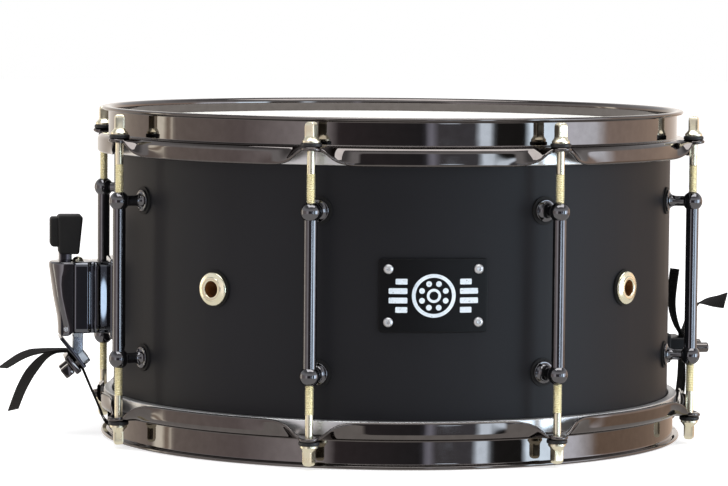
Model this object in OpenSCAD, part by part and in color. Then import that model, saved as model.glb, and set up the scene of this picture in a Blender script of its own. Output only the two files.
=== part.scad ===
// Snare drum: wooden shell, two heads held by pressed hoops, tube lugs, lever throw-off, snare wires.
// Millimetres, +Z up. The origin is on the drum's axis, in the plane of the lower hoop's rim.
// The front plate faces -Y, the throw-off sits at -X and the butt plate at +X.

/* [Shell] */
// Outer diameter of the shell
shell_d = 355.6; // [300:0.2:400]
// Depth of the shell from bearing edge to bearing edge
shell_depth = 190.5; // [182:0.1:210]
// Thickness of the shell wall
shell_wall = 8; // [6:0.5:12]
// Distance of the bearing edge's crest from the outer face
edge_crest = 2; // [1:0.5:3]

/* [Heads] */
// Thickness of the drum film
film_t = 0.25; // [0.15:0.05:0.5]
// Drop from the bearing edge to the top of the flesh ring
ring_drop = 10.4; // [9:0.05:13]
// Width of the flesh ring's section
ring_w = 5.4; // [3:0.1:6]
// Height of the flesh ring's section
ring_h = 9; // [6:0.5:10]

/* [Hoops] */
// Height of each hoop's rim beyond the bearing edge
hoop_rise = 9.05; // [8.8:0.05:16]
// Thickness of the hoop's sheet metal
hoop_sheet = 2.3; // [1.6:0.1:3]
// Gap between the shell and the hoop's collar
collar_gap = 1.6; // [1.2:0.1:2.5]
// Width of the rolled rim beyond the collar
rim_lip = 4; // [3:0.5:6]
// Distance from the shell to the inside of the hoop's skirt
skirt_reach = 8.4; // [7.5:0.1:10]
// Depth of the skirt below the flange
skirt_depth = 8.1; // [5:0.1:10]
// Half width of the skirt's opening under an ear, at the skirt's edge
ear_sweep = 23; // [16:0.5:26]
// Half width of an ear where it leaves the skirt
ear_root = 11; // [8:0.5:13]
// Radius of an ear's rounded tip
ear_tip = 6.6; // [5:0.1:8]
// Width of each snare gate in the lower hoop
gate_w = 42; // [30:1:50]
// Height of the hoop left under each snare gate
gate_sill = 4.4; // [4:0.1:4.6]

/* [Lugs and tension rods] */
// Distance from the shell to the tension rods
rod_offset = 17; // [15.5:0.5:20]
// Distance between the two ball posts of a lug
post_spacing = 97.2; // [70:0.2:110]
// Diameter of a post's ball
ball_d = 12.3; // [11:0.1:14]
// Diameter of a post's neck
neck_d = 6.4; // [6:0.1:8]
// Diameter of a post's foot
foot_d = 13.4; // [12:0.1:16]
// Diameter of the gasket under a post
gasket_d = 17; // [14:0.5:20]
// Thickness of the gaskets against the shell
gasket_t = 1; // [0.6:0.1:2]
// Outer diameter of a lug tube
tube_d = 8; // [7.2:0.1:9]
// Diameter of a tension rod's thread
rod_d = 5.4; // [4.8:0.1:5.8]
// Length of a tension rod below its head
rod_l = 46; // [42:0.5:60]
// Length of the plain shank below a rod's head
rod_plain = 18.3; // [8:0.1:24]
// Width of a rod's square head
key_square = 6.35; // [5.5:0.05:7]
// Height of a rod's head
head_h = 12.4; // [10:0.2:14]
// Diameter of the flange under a rod's head
head_flange = 11; // [9:0.1:11.5]
// Diameter of the washer under a rod's head
washer_d = 12.5; // [11:0.1:13.5]
// Thickness of the washer under a rod's head
washer_t = 2.2; // [1:0.1:3]

/* [Air vents] */
// Angle of each vent from the front
vent_angle = 45; // [40:1:50]
// Diameter of a vent's hole
vent_bore = 9.7; // [7:0.1:11]
// Diameter of a vent's flange
vent_flange = 20.5; // [19:0.1:24]
// Height of a vent's flange above its gasket
vent_rise = 3; // [2.6:0.1:4]
// Height of the vents above the drum's middle
vent_z = -1.2; // [-5:0.1:5]

/* [Front plate] */
// Width of the plate
plate_w = 65; // [60:0.5:80]
// Height of the plate
plate_h = 44; // [40:0.5:60]
// Thickness of the plate
plate_t = 2; // [1:0.1:3]
// Distance of the screws from the plate's edges
plate_inset = 6.2; // [4.5:0.1:8]
// Height of the plate's middle above the drum's middle
plate_rise = -1.7; // [-5:0.1:5]

/* [Throw-off] */
// Depth of the housing, from the shell to its front face
throw_depth = 26.7; // [26:0.1:30]
// Height of the housing
throw_h = 42.3; // [38:0.1:50]
// Height of the housing's middle above the drum's middle
throw_z = -18; // [-22:0.5:-10]
// Width of the lever
lever_w = 30; // [28:0.5:34]
// Diameter of the lever's pivot pin
pivot_d = 3; // [2.5:0.1:3.4]
// Width of the carriage's bar
bar_w = 15; // [13:0.5:16]
// Diameter of the adjuster knob
knob_d = 6.6; // [5:0.1:6.8]
// Downward travel of the carriage when the lever is thrown
carriage_travel = 8; // [5:0.5:10]

// Length of the rubber grip
grip_l = 24.7; // [20:0.1:30]
// Width of the rubber grip
grip_w = 20; // [17:0.5:26]

/* [Butt plate] */
// Depth of the body, from the shell to the strap
butt_depth = 13.3; // [12:0.1:16]
// Height of the body
butt_h = 13; // [11:0.5:18]
// Width of the body
butt_w = 30; // [27:0.5:36]
// Height of the body's middle above the drum's middle
butt_rise = -50.4; // [-56:0.2:-40]

/* [Screws through the shell] */
// Diameter of a screw's thread
screw_d = 4; // [3.5:0.1:4.4]
// Diameter of a screw's head
screw_head_d = 9.5; // [8:0.5:12]
// Length of thread in a fitting
screw_depth = 7; // [5:0.5:8]

/* [Snare wires and straps] */
// Number of wire strands
strand_count = 20; // [12:2:24]
// Diameter of a coiled strand
strand_d = 2.2; // [1.6:0.1:2.6]
// Distance between strands
strand_pitch = 3.8; // [3:0.1:4]
// Gap between the shell's inner face and the outer edge of an end plate
plate_gap = 9.8; // [8:0.2:40]
// Length of an end plate along the wires
end_plate_l = 22; // [18:1:30]
// Thickness of an end plate
end_plate_t = 0.8; // [0.6:0.1:1.2]
// Width of a strap
strap_w = 15; // [10:0.5:18]
// Thickness of a strap
strap_t = 0.7; // [0.5:0.05:0.8]

/* [Hidden] */
$fn = 96;
shell_fn = 360;
lug_count = 8;
lug_names = [for (i = [1:lug_count]) i];

// Clearances: seats of fixed pieces, running fits, loose holes and free gaps
seat = 0.05;
running = 0.05;
loose = 0.3;
free_gap = 0.5;
curved_seat = 0.1;
overshoot = 1;

// Main radii and heights
shell_r = shell_d / 2;
shell_in = shell_r - shell_wall;
z_low = hoop_rise;
z_high = hoop_rise + shell_depth;
z_mid = (z_low + z_high) / 2;
z_top = z_high + hoop_rise;

// Head and hoop section, from the shell outwards and from the ring upwards
film_in = shell_r + seat;
film_out = film_in + film_t;
ring_in = film_out + loose;
ring_out = ring_in + ring_w;
z_ring = z_high - ring_drop;
z_film_foot = z_ring - ring_h / 2;
film_foot = ring_w / 2;
collar_in = shell_r + collar_gap;
collar_out = collar_in + hoop_sheet;
rim_r = collar_out + rim_lip;
skirt_in = shell_r + skirt_reach;
skirt_out = skirt_in + hoop_sheet;
z_flange = z_ring + seat;
rim_h = z_top - z_flange;
bend_in = 0.8;
bend_out = hoop_sheet + bend_in;
edge_round = 0.5;

// Lug and rod stations
lug_step = 360 / lug_count;
lug_angles = [for (i = [0:lug_count - 1]) lug_step / 2 - 90 + i * lug_step];
rod_r = shell_r + rod_offset;
z_post = z_mid + post_spacing / 2;
tube_past = 1.5;
tube_half = post_spacing / 2 + tube_past;
tube_bore = rod_d + 2 * running;
tube_seat_d = tube_d + 2 * seat;
ear_hole = rod_d + 2 * 0.4;
z_washer = z_flange + hoop_sheet + seat;
z_seat = z_washer + washer_t + seat;
plain_d = rod_d - 0.2;
head_flange_h = 1.5;
head_cone_h = 2;
head_chamfer = 1.2;
foot_rim = 1.2;
flare_l = 4.5;

// Screws that hold the lugs and fittings through the shell
screw_hole = screw_d + 0.8;
screw_head_h = 3;
screw_washer_d = 13;
screw_washer_t = 1.2;
washer_face = sqrt(pow(shell_in, 2) - pow(screw_washer_d / 2, 2)) - seat;

// Vent grommet
vent_wall = 1.5;
vent_tube = vent_bore + 2 * vent_wall;
vent_hole = vent_tube + 2 * loose;
vent_gasket_rim = 1;
vent_gasket_d = vent_flange + 2 * vent_gasket_rim;
vent_lip_w = 1.9;
vent_lip_d = vent_bore + 2 * vent_lip_w;
vent_rim_h = 1.4;
vent_lip_h = 2.1;
vent_nut_rim = 3;
vent_nut_d = vent_tube + 2 * vent_nut_rim;
vent_nut_t = 3;
vent_nut_face = sqrt(pow(shell_in, 2) - pow(vent_nut_d / 2, 2)) - seat;

// Front plate screws
plate_screw_d = 3;
plate_screw_head = 5.9;
plate_screw_rise = 1.9;
plate_screw_l = 6;
plate_corner = 2;

// Throw-off: places are measured outwards from the drum's axis and up from the housing's foot
throw_front = shell_r + throw_depth;
throw_low = z_mid + throw_z - throw_h / 2;
throw_high = throw_low + throw_h;
block_w = lever_w + 1;
base_w = 42;
base_plate_t = 4;
base_plate_top = 2;
column_r = 21.6;
column_x = 16.3;
column_in = 0.74;
groove_x = 14.3;
groove_w = 1.8;
groove_d = 2.9;
chamfer_w = 1.8;
chamfer_d = 0.84;
bar_back = throw_front - 6.5;
bar_front = throw_front - loose;
bar_rib_t = 3;
bar_rib_w = bar_w + 6;
bar_top = throw_high - 3.5;
bar_mid = (bar_back + bar_front) / 2;
knob_screw_d = 4;
knob_screw_l = 11;
screw_rise = 12;

// Lever: pivot near its foot, hollow back, tapered front. Reaches run outwards from the pivot, rises up
// from the housing's foot
lever_r = 4.4;
lever_toe = 1.2;
pivot_rise = 2.8;
lever_back = throw_front + loose;
pivot_x = lever_back + lever_r;
pivot_z = throw_low + pivot_rise;
lever_wall = 3;
knuckle_r = pivot_d / 2 + 1.3;
knuckle_w = 3.2;
knuckle_out = lever_w / 2 - lever_wall - free_gap;
lever_over = 1.9;
lever_top = throw_high + lever_over;
lever_cap = 5.4;
lever_nose = 1.5;
lever_head_reach = 10.2;
lever_head = pivot_x + lever_head_reach;
lever_waist_reach = 7.6;
lever_waist = pivot_x + lever_waist_reach;
lever_waist_rise = 23.2;
lever_waist_z = throw_low + lever_waist_rise;
lever_low_reach = 5;
lever_low = pivot_x + lever_low_reach;
lever_low_rise = 10;
lever_low_z = throw_low + lever_low_rise;

// Grip on the lever's shank
shank_inset = 0.4;
shank_x0 = lever_back + shank_inset;
shank_t = 8;
shank_x1 = shank_x0 + shank_t;
shank_w = 14;
shank_bare = 5.6;
grip_low = lever_top + shank_bare;
grip_high = grip_low + grip_l;
grip_round = 1.6;
grip_pad_w = 15;
shank_top = grip_high - 6;

// Carriage foot and strap clamp: the clamping face slopes outwards and up
clamp_slope = 51;
clamp_x = throw_front + 1;
clamp_z = throw_low - 13;
clamp_w = 28;
foot_low = -12;
foot_high = 12.2;
foot_t = 2.4;
foot_top = pivot_z - lever_r - free_gap;
foot_nut = 7;
foot_nut_h = 4.5;
strap_gap = 0.1;
strap_stack = 2 * strap_t + 3 * strap_gap;
layer_1 = strap_gap + strap_t / 2;
layer_2 = layer_1 + strap_t + strap_gap;
clamp_t = 4;
clamp_low = -12.5;
clamp_high = 0.5;
clamp_screw_at = -7;
clamp_screw_d = 4;
clamp_screw_y = strap_w / 2 + 3;
clamp_head = 7;
clamp_head_h = 6.5;
clamp_screw_depth = 5;
mouth_r = 2;

// Butt plate on the opposite side
butt_front = shell_r + butt_depth;
butt_z = z_mid + butt_rise;
butt_base_h = 19;
butt_base_t = 3;
butt_clamp_t = 4;
butt_head_d = 6.5;
butt_head_l = 10;

// Snare wires under the lower film, their end plates just inside the shell
plate_reach = shell_in - plate_gap;
wire_z = z_low - film_t - strap_gap - strand_d / 2;
end_plate_z = wire_z - strand_d / 2 - seat - end_plate_t;
end_plate_w = strand_count * strand_pitch + 6;
wire_half = plate_reach - end_plate_l / 2 - 2;
slot_l = 2.4;
slot_bar = 2.6;
slot_w = strap_w + 2;

// Strap routes: outward distance, height and twist in degrees at each station
rise_1 = end_plate_z + end_plate_t + strap_gap + strap_t / 2;
rise_2 = end_plate_z - strap_gap - strap_t / 2;
turn_x = plate_reach - slot_bar - strap_t / 2 - 1;
fold = [
    [turn_x + 2.2, rise_1, 0],
    [turn_x + 0.7, rise_1 - 0.1, 0],
    [turn_x, (rise_1 + rise_2) / 2, 0],
    [turn_x + 0.7, rise_2 + 0.1, 0],
    [turn_x + 2.2, rise_2, 0]
];
function clamp_at(along, off, twist = 0) = [
    clamp_x + along * cos(clamp_slope) + off * sin(clamp_slope),
    clamp_z + along * sin(clamp_slope) - off * cos(clamp_slope),
    twist
];

// Stations where a strap bends round the upper or the lower edge of the throw-off's clamp plate
function upper_mouth(layer) = [for (a = [0, 17, 34, clamp_slope])
    clamp_at(clamp_high + 0.4 + (mouth_r + layer_2 - layer) * sin(a), layer_2 + mouth_r
        - (mouth_r + layer_2 - layer) * cos(a))];
function lower_mouth(layer) = [for (a = [0, 8, 16])
    clamp_at(clamp_low - 0.4 - (2 * mouth_r + layer_2 - layer) * sin(a), layer_2 + 2 * mouth_r
        - (2 * mouth_r + layer_2 - layer) * cos(a))];
function reversed(p) = [for (i = [len(p) - 1:-1:0]) p[i]];
throw_tail_1 = [[45, -11.4, -7], [39.4, -7.6, -9], [32.5, -3.2, -10], [26, -0.5, -9], [20.5, 0.5, -6],
    [15, 1.1, -3], [9, 1.5, 0]];
throw_tail_2 = [[8.5, 0.3, 0], [12.5, -0.8, 3], [17.2, -3.6, 9], [22, -8.6, 15], [26.7, -14.8, 18],
    [31.5, -24, 18], [35.5, -34.5, 17]];
throw_route = concat(
    [for (p = throw_tail_1) [clamp_x + p[0], clamp_z + p[1], p[2]]],
    reversed(upper_mouth(layer_1)),
    [clamp_at(clamp_screw_at, layer_1)],
    lower_mouth(layer_1),
    [[shell_r + 14.2, z_low + 19.65, 0], [shell_r + 9.4, z_low + 8.45, 0], [shell_r + 6.6, rise_1 + 3.7, 0]],
    [[shell_r + 4.2, rise_1 + 0.6, 0], [shell_r + 1, rise_1, 0], [shell_r - 8, rise_1, 0]],
    fold,
    [[shell_r - 8, rise_2, 0], [shell_r + 1, rise_2 + 0.2, 0], [shell_r + 4.8, rise_2 + 1.4, 0]],
    [[shell_r + 7.4, rise_2 + 5, 0], [shell_r + 10.2, z_low + 7.75, 0], [shell_r + 15.2, z_low + 19.25, 0]],
    reversed(lower_mouth(layer_2)),
    [clamp_at(clamp_screw_at, layer_2)],
    upper_mouth(layer_2),
    [for (p = throw_tail_2) [clamp_x + p[0], clamp_z + p[1], p[2]]]
);
butt_tail_1 = [[-5, 44.3, 8], [-5.9, 37.5, 8], [-6.6, 30, 7], [-6.8, 22, 5], [-5.7, 14, 3], [-3.2, 6.5, 1],
    [-1.1, 2.9, 0], [-0.2, 1.2, 0]];
butt_tail_2 = [[0.15, 1.2, 0], [0.8, 3, 0], [2.4, 7, 0], [5, 14.5, 0], [8.4, 20.2, 5], [12.4, 22.2, 14],
    [16.6, 22.7, 23], [22, 22.6, 34], [27.9, 23, 47]];
butt_face = butt_front + layer_1;
butt_back = butt_front + layer_2;
butt_grip = [for (z = [1, 0.5, 0, -0.5, -1]) butt_z + z * butt_h / 2];
butt_over = butt_z + butt_h / 2;
butt_route = concat(
    [for (p = butt_tail_1) [butt_face + p[0], butt_over + p[1], p[2]]],
    [for (z = butt_grip) [butt_face, z, 0]],
    [[butt_face, z_low + 33.35, 0], [butt_face - 0.5, z_low + 22.35, 0], [butt_face - 2, z_low + 11.35, 0]],
    [[shell_r + 9.4, z_low + 4.15, 0], [shell_r + 6.2, rise_1 + 1.5, 0], [shell_r + 2, rise_1, 0]],
    [[shell_r - 8, rise_1, 0]],
    fold,
    [[shell_r - 8, rise_2, 0], [shell_r + 2, rise_2 + 0.2, 0], [shell_r + 7, rise_2 + 2.25, 0]],
    [[shell_r + 10.4, z_low + 3.7, 0], [butt_back - 0.9, z_low + 10.35, 0], [butt_back + 0.3, z_low + 22.35, 0]],
    [[butt_back + 0.1, z_low + 33.35, 0]],
    [for (z = reversed(butt_grip)) [butt_back, z, 0]],
    [for (p = butt_tail_2) [butt_back + p[0], butt_over + p[1], p[2]]]
);

// Colours
satin_black = "#2b2b2d";
black_nickel = "#3a3533";
brass = "#d9b45a";
aluminium = "#c9cacb";
film_white = "#f2f2ee";
black_rubber = "#1d1d1e";
steel = "#aeb4ba";
strap_black = "#2a2522";

// Points of an arc about a centre, from one angle to another
function arc(c, r, a0, a1, n = 4) =
    [for (i = [0:n]) [c[0] + r * cos(a0 + (a1 - a0) * i / n), c[1] + r * sin(a0 + (a1 - a0) * i / n)]];

// Smooth step from 0 to 1
function ease(t) = t <= 0 ? 0 : t >= 1 ? 1 : t * t * (3 - 2 * t);

// Point on a smooth curve through four route stations
function curve_point(a, b, c, d, t) =
    0.5 * (2 * b + (c - a) * t + (2 * a - 5 * b + 4 * c - d) * t * t + (3 * b - a - 3 * c + d) * t * t * t);

// A route with extra stations between its own, on the smooth curve
function smooth_route(p, n) = concat(
    [for (i = [0:len(p) - 2]) for (k = [0:n - 1])
        curve_point(p[max(i - 1, 0)], p[i], p[i + 1], p[min(i + 2, len(p) - 1)], k / n)],
    [p[len(p) - 1]]
);

// Direction of a route at a station, in its own plane
function heading(p, i) =
    let (a = p[max(i - 1, 0)], b = p[min(i + 1, len(p) - 1)], d = [b[0] - a[0], b[1] - a[1]])
    d / norm(d);

// The four corners of a strap's section at a station
function strap_corners(p, i, w, t) =
    let (
        h = heading(p, i),
        across = [sin(p[i][2]) * h[1], cos(p[i][2]), -sin(p[i][2]) * h[0]],
        through = cross([h[0], 0, h[1]], across),
        mid = [p[i][0], 0, p[i][1]]
    )
    [for (s = [[-1, -1], [1, -1], [1, 1], [-1, 1]]) mid + across * s[0] * w / 2 + through * s[1] * t / 2];

// A flat strap along a route
module strap(route, w, t, n = 3) {
    p = smooth_route(route, n);
    last = len(p) - 1;
    tip = 4 * last;
    points = [for (i = [0:last]) each strap_corners(p, i, w, t)];
    sides = [for (i = [0:last - 1]) for (k = [0:3]) let (a = 4 * i + k, b = 4 * i + (k + 1) % 4)
        each [[a, b, a + 4], [b, b + 4, a + 4]]];
    ends = [[0, 2, 1], [0, 3, 2], [tip, tip + 1, tip + 2], [tip, tip + 2, tip + 3]];
    polyhedron(points, concat(sides, ends));
}

// Turns the lower half's copy of an upper piece about the drum's middle plane
module lower_side() {
    translate([0, 0, 2 * z_mid]) mirror([0, 0, 1]) children();
}

// Points a shape's +Z outwards from the drum's axis at an angle and height
module outward(angle, z) {
    rotate([0, 0, angle]) translate([0, 0, z]) rotate([0, 90, 0]) children();
}

// Both posts of every lug
module each_post() {
    for (a = lug_angles) for (z = [z_post, 2 * z_mid - z_post]) outward(a, z) children();
}

// Throw-off pieces are drawn reaching out along +X and turned to the -X side
module throw_side() {
    rotate([0, 0, 180]) children();
}

// An outline in the X-Z plane given a width across it
module wide(w) {
    rotate([90, 0, 0]) translate([0, 0, -w / 2]) linear_extrude(w) children();
}

// Shell with both bearing edges and the holes for its fittings
module shell() {
    bevel = shell_wall - edge_crest - edge_round;
    crest = shell_r - edge_crest;
    color(satin_black) difference() {
        rotate_extrude() polygon([
            [shell_in, z_low + bevel], [crest - edge_round, z_low], [crest, z_low],
            [shell_r, z_low + edge_crest], [shell_r, z_high - edge_crest],
            [crest, z_high], [crest - edge_round, z_high], [shell_in, z_high - bevel]
        ]);
        each_post() cylinder(d = screw_hole, h = shell_r + overshoot);
        each_vent() cylinder(d = vent_hole, h = shell_r + overshoot);
        each_plate_screw() translate([0, 0, shell_r - plate_screw_l])
            cylinder(d = plate_screw_d, h = shell_wall);
        each_throw_screw() cylinder(d = screw_hole, h = shell_r + overshoot);
        each_butt_screw() cylinder(d = screw_hole, h = shell_r + overshoot);
    }
}

// Drum film: a flat disc, a collar down the outside of the shell and a foot held in the flesh ring
module film() {
    foot_r = ring_in + film_foot;
    rotate_extrude() polygon([
        [0, z_high + seat], [shell_r - edge_crest, z_high + seat], [film_in, z_high - edge_crest + seat],
        [film_in, z_film_foot], [foot_r, z_film_foot], [foot_r, z_film_foot + film_t],
        [film_out, z_film_foot + film_t], [film_out, z_high - edge_crest + film_t],
        [shell_r - edge_crest + film_t, z_high + film_t + seat], [0, z_high + film_t + seat]
    ]);
}

module batter_film() {
    color(film_white) film();
}

module snare_film() {
    color(film_white) lower_side() film();
}

// Flesh ring: a metal channel around the film's edge
module ring() {
    groove_r = ring_in + film_foot + seat;
    groove_low = z_film_foot - seat;
    groove_high = z_film_foot + film_t + seat;
    rotate_extrude() polygon(concat(
        [[ring_in, groove_low], [groove_r, groove_low], [groove_r, groove_high], [ring_in, groove_high]],
        arc([ring_in + bend_in, z_ring - bend_in], bend_in, 180, 90),
        arc([ring_out - bend_in, z_ring - bend_in], bend_in, 90, 0),
        arc([ring_out - bend_in, z_ring - ring_h + bend_in], bend_in, 0, -90),
        arc([ring_in + bend_in, z_ring - ring_h + bend_in], bend_in, -90, -180)
    ));
}

module batter_ring() {
    color(aluminium) ring();
}

module snare_ring() {
    color(aluminium) lower_side() ring();
}

// Section of a pressed hoop: collar, rolled rim, flange and skirt
module hoop_section() {
    top = z_flange + rim_h;
    over = z_flange + hoop_sheet;
    lip = hoop_sheet / 2;
    polygon(concat(
        arc([collar_in + bend_out, z_flange + bend_out], bend_out, 180, 270),
        arc([skirt_in - bend_in, z_flange - bend_in], bend_in, 90, 0),
        [[skirt_in, z_flange - skirt_depth], [skirt_out, z_flange - skirt_depth]],
        arc([skirt_out - bend_out, over - bend_out], bend_out, 0, 90),
        arc([collar_out + bend_in, over + bend_in], bend_in, 270, 180),
        arc([collar_out + bend_in, top - hoop_sheet - bend_in], bend_in, 180, 90),
        arc([rim_r - lip, top - lip], lip, -90, 90, 6),
        arc([collar_in + bend_out, top - bend_out], bend_out, 90, 180)
    ));
}

// Opening cut in the skirt under an ear, sweeping down to the skirt's edge on both sides
module ear_opening() {
    steps = 8;
    low = -skirt_depth - overshoot;
    sweep = [for (i = [0:steps])
        [ear_tip + (ear_sweep - ear_tip) * i / steps, -skirt_depth * ease(i / steps)]];
    polygon(concat(
        [for (p = sweep) p],
        [[ear_sweep, low], [-ear_sweep, low]],
        [for (i = [steps:-1:0]) [-sweep[i][0], sweep[i][1]]]
    ));
}

// Outline of an ear: straight sides closing in to a round tip
module ear_outline() {
    reach = rod_r - skirt_in + bend_in;
    lean = asin((ear_root - ear_tip) / norm([reach, ear_root - ear_tip]));
    polygon([
        [skirt_in - bend_in, ear_root], [rod_r + ear_tip * sin(lean), ear_tip * cos(lean)],
        [rod_r + ear_tip * sin(lean), -ear_tip * cos(lean)], [skirt_in - bend_in, -ear_root]
    ]);
    translate([rod_r, 0]) circle(ear_tip);
}

// Pressed hoop with an ear and a rod hole at every lug
module hoop() {
    difference() {
        union() {
            difference() {
                rotate_extrude() hoop_section();
                for (a = lug_angles) rotate([0, 0, a]) translate([skirt_in - overshoot, 0, z_flange])
                    rotate([90, 0, 90]) linear_extrude(hoop_sheet + 3 * overshoot) ear_opening();
            }
            for (a = lug_angles) rotate([0, 0, a]) translate([0, 0, z_flange]) linear_extrude(hoop_sheet)
                ear_outline();
        }
        for (a = lug_angles) rotate([0, 0, a]) translate([rod_r, 0, z_flange - overshoot])
            cylinder(d = ear_hole, h = hoop_sheet + 2 * overshoot);
    }
}

module batter_hoop() {
    color(black_nickel) hoop();
}

// The lower hoop has a gate on each side for the straps
module snare_hoop() {
    gate_low = z_flange - skirt_depth - overshoot;
    color(black_nickel) lower_side() difference() {
        hoop();
        for (a = [0, 180]) rotate([0, 0, a]) translate([shell_r - overshoot, -gate_w / 2, gate_low])
            cube([skirt_out - shell_r + 2 * overshoot, gate_w, z_top - gate_sill - gate_low]);
    }
}

// Ball post of a lug, seen from its foot at the gasket: foot, concave flare, neck and bored ball
module post() {
    foot_at = shell_r + gasket_t + curved_seat;
    neck_at = foot_at + foot_rim + flare_l;
    flare_r = (foot_d - neck_d) / 2;
    difference() {
        union() {
            rotate_extrude() polygon(concat(
                [[0, foot_at], [foot_d / 2, foot_at], [foot_d / 2, foot_at + foot_rim]],
                [for (i = [1:6]) [foot_d / 2 - flare_r * sin(15 * i), neck_at - flare_l * cos(15 * i)]],
                [[neck_d / 2, rod_r], [0, rod_r]]
            ));
            translate([0, 0, rod_r]) sphere(d = ball_d);
        }
        translate([0, 0, foot_at - overshoot]) cylinder(d = screw_d, h = screw_depth + overshoot);
    }
}

// Rod hole and tube seat in an upper post's ball
module post_bores() {
    for (a = lug_angles) rotate([0, 0, a]) translate([rod_r, 0, z_post]) {
        translate([0, 0, -ball_d]) cylinder(d = tube_seat_d, h = ball_d + tube_past + seat);
        cylinder(d = tube_bore, h = ball_d);
    }
}

module lug_posts() {
    color(black_nickel) difference() {
        each_post() post();
        post_bores();
        lower_side() post_bores();
    }
}

// Gasket under a round fitting, flat outside and curved to the shell inside
module gasket(angle, z, d, hole) {
    difference() {
        outward(angle, z) translate([0, 0, shell_r - gasket_t]) difference() {
            cylinder(d = d, h = 2 * gasket_t);
            translate([0, 0, -overshoot]) cylinder(d = hole, h = 2 * (gasket_t + overshoot));
        }
        translate([0, 0, z - d]) cylinder(r = shell_r + seat, h = 2 * d, $fn = shell_fn);
    }
}

module lug_gaskets() {
    color(black_rubber) for (a = lug_angles) for (z = [z_post, 2 * z_mid - z_post])
        gasket(a, z, gasket_d, screw_hole);
}

// A screw from inside the shell into a fitting, with its head against a washer
module shell_screw(reach) {
    head_at = washer_face - screw_washer_t - seat;
    translate([0, 0, head_at - screw_head_h]) cylinder(d = screw_head_d, h = screw_head_h);
    translate([0, 0, head_at - overshoot]) cylinder(d = screw_d - 2 * seat, h = reach - head_at + overshoot);
}

module shell_screw_washer() {
    translate([0, 0, washer_face - screw_washer_t]) difference() {
        cylinder(d = screw_washer_d, h = screw_washer_t);
        translate([0, 0, -overshoot]) cylinder(d = screw_hole, h = screw_washer_t + 2 * overshoot);
    }
}

module lug_screws() {
    color(steel) each_post() shell_screw(shell_r + gasket_t + screw_depth - free_gap);
}

module lug_screw_washers() {
    color(steel) each_post() shell_screw_washer();
}

// Threaded tube between the two posts of one lug
module lug_tube(i) {
    at = [rod_r, 0, z_mid - tube_half];
    color(black_nickel) rotate([0, 0, lug_angles[i - 1]]) translate(at) difference() {
        cylinder(d = tube_d, h = 2 * tube_half);
        translate([0, 0, -overshoot]) cylinder(d = tube_bore, h = 2 * (tube_half + overshoot));
    }
}

// Tension rod: square key head, conical collar and flange, plain shank and thread
module tension_rod(i) {
    square_h = head_h - head_flange_h - head_cone_h;
    key_at = z_seat + head_flange_h + head_cone_h;
    rotate([0, 0, lug_angles[i - 1]]) translate([rod_r, 0, 0]) {
        rotate_extrude() polygon([
            [0, z_seat - rod_l], [rod_d / 2 - 0.8, z_seat - rod_l], [rod_d / 2, z_seat - rod_l + 0.8],
            [rod_d / 2, z_seat - rod_plain], [plain_d / 2, z_seat - rod_plain - 0.2 + seat],
            [plain_d / 2, z_seat], [head_flange / 2, z_seat], [head_flange / 2, z_seat + head_flange_h],
            [key_square / 2, key_at], [0, key_at]
        ]);
        intersection() {
            translate([-key_square / 2, -key_square / 2, key_at - head_cone_h])
                cube([key_square, key_square, square_h + head_cone_h]);
            rotate_extrude() polygon([
                [0, z_seat], [key_square * 0.66, z_seat], [key_square * 0.66, z_seat + head_h - head_chamfer],
                [key_square * 0.66 - 2 * head_chamfer, z_seat + head_h], [0, z_seat + head_h]
            ]);
        }
    }
}

module batter_rod(i) {
    color(brass) tension_rod(i);
}

module snare_rod(i) {
    color(brass) lower_side() tension_rod(i);
}

// Nylon washers between the rods' heads and the hoops' ears
module washer_ring() {
    for (a = lug_angles) rotate([0, 0, a]) translate([rod_r, 0, z_washer]) difference() {
        cylinder(d = washer_d, h = washer_t);
        translate([0, 0, -overshoot]) cylinder(d = ear_hole, h = washer_t + 2 * overshoot);
    }
}

module rod_washers() {
    color(black_rubber) {
        washer_ring();
        lower_side() washer_ring();
    }
}

// Both air vents
module each_vent() {
    for (s = [-1, 1]) outward(s * vent_angle - 90, z_mid + vent_z) children();
}

// Grommet: a tube through the shell with a domed flange and a raised lip round the hole
module vent_grommets() {
    flange_at = shell_r + gasket_t + curved_seat;
    nut_back = vent_nut_face - vent_nut_t;
    color(brass) each_vent() rotate_extrude() polygon(concat(
        [[vent_bore / 2, nut_back], [vent_tube / 2, nut_back], [vent_tube / 2, flange_at]],
        [[vent_flange / 2, flange_at], [vent_flange / 2, flange_at + vent_rim_h]],
        [[vent_lip_d / 2 + 0.6, flange_at + vent_lip_h], [vent_lip_d / 2, flange_at + vent_lip_h]],
        [[vent_lip_d / 2, flange_at + vent_rise - 0.4], [vent_lip_d / 2 - 0.5, flange_at + vent_rise]],
        [[vent_bore / 2 + 0.6, flange_at + vent_rise], [vent_bore / 2, flange_at + vent_rise - 0.8]]
    ));
}

module vent_gaskets() {
    color(black_rubber) for (s = [-1, 1]) gasket(s * vent_angle - 90, z_mid + vent_z, vent_gasket_d, vent_hole);
}

// Lock nut on the grommet's tube inside the shell
module vent_nuts() {
    color(brass) each_vent() translate([0, 0, vent_nut_face - vent_nut_t]) difference() {
        cylinder(d = vent_nut_d, h = vent_nut_t);
        translate([0, 0, -overshoot]) cylinder(d = vent_tube + 2 * seat, h = vent_nut_t + 2 * overshoot);
    }
}

// Four screws at the plate's corners
module each_plate_screw() {
    turn = (plate_w / 2 - plate_inset) / shell_r * 180 / PI;
    rise = plate_h / 2 - plate_inset;
    for (s = [-1, 1]) for (z = [-1, 1]) outward(s * turn - 90, z_mid + plate_rise + z * rise) children();
}

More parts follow.
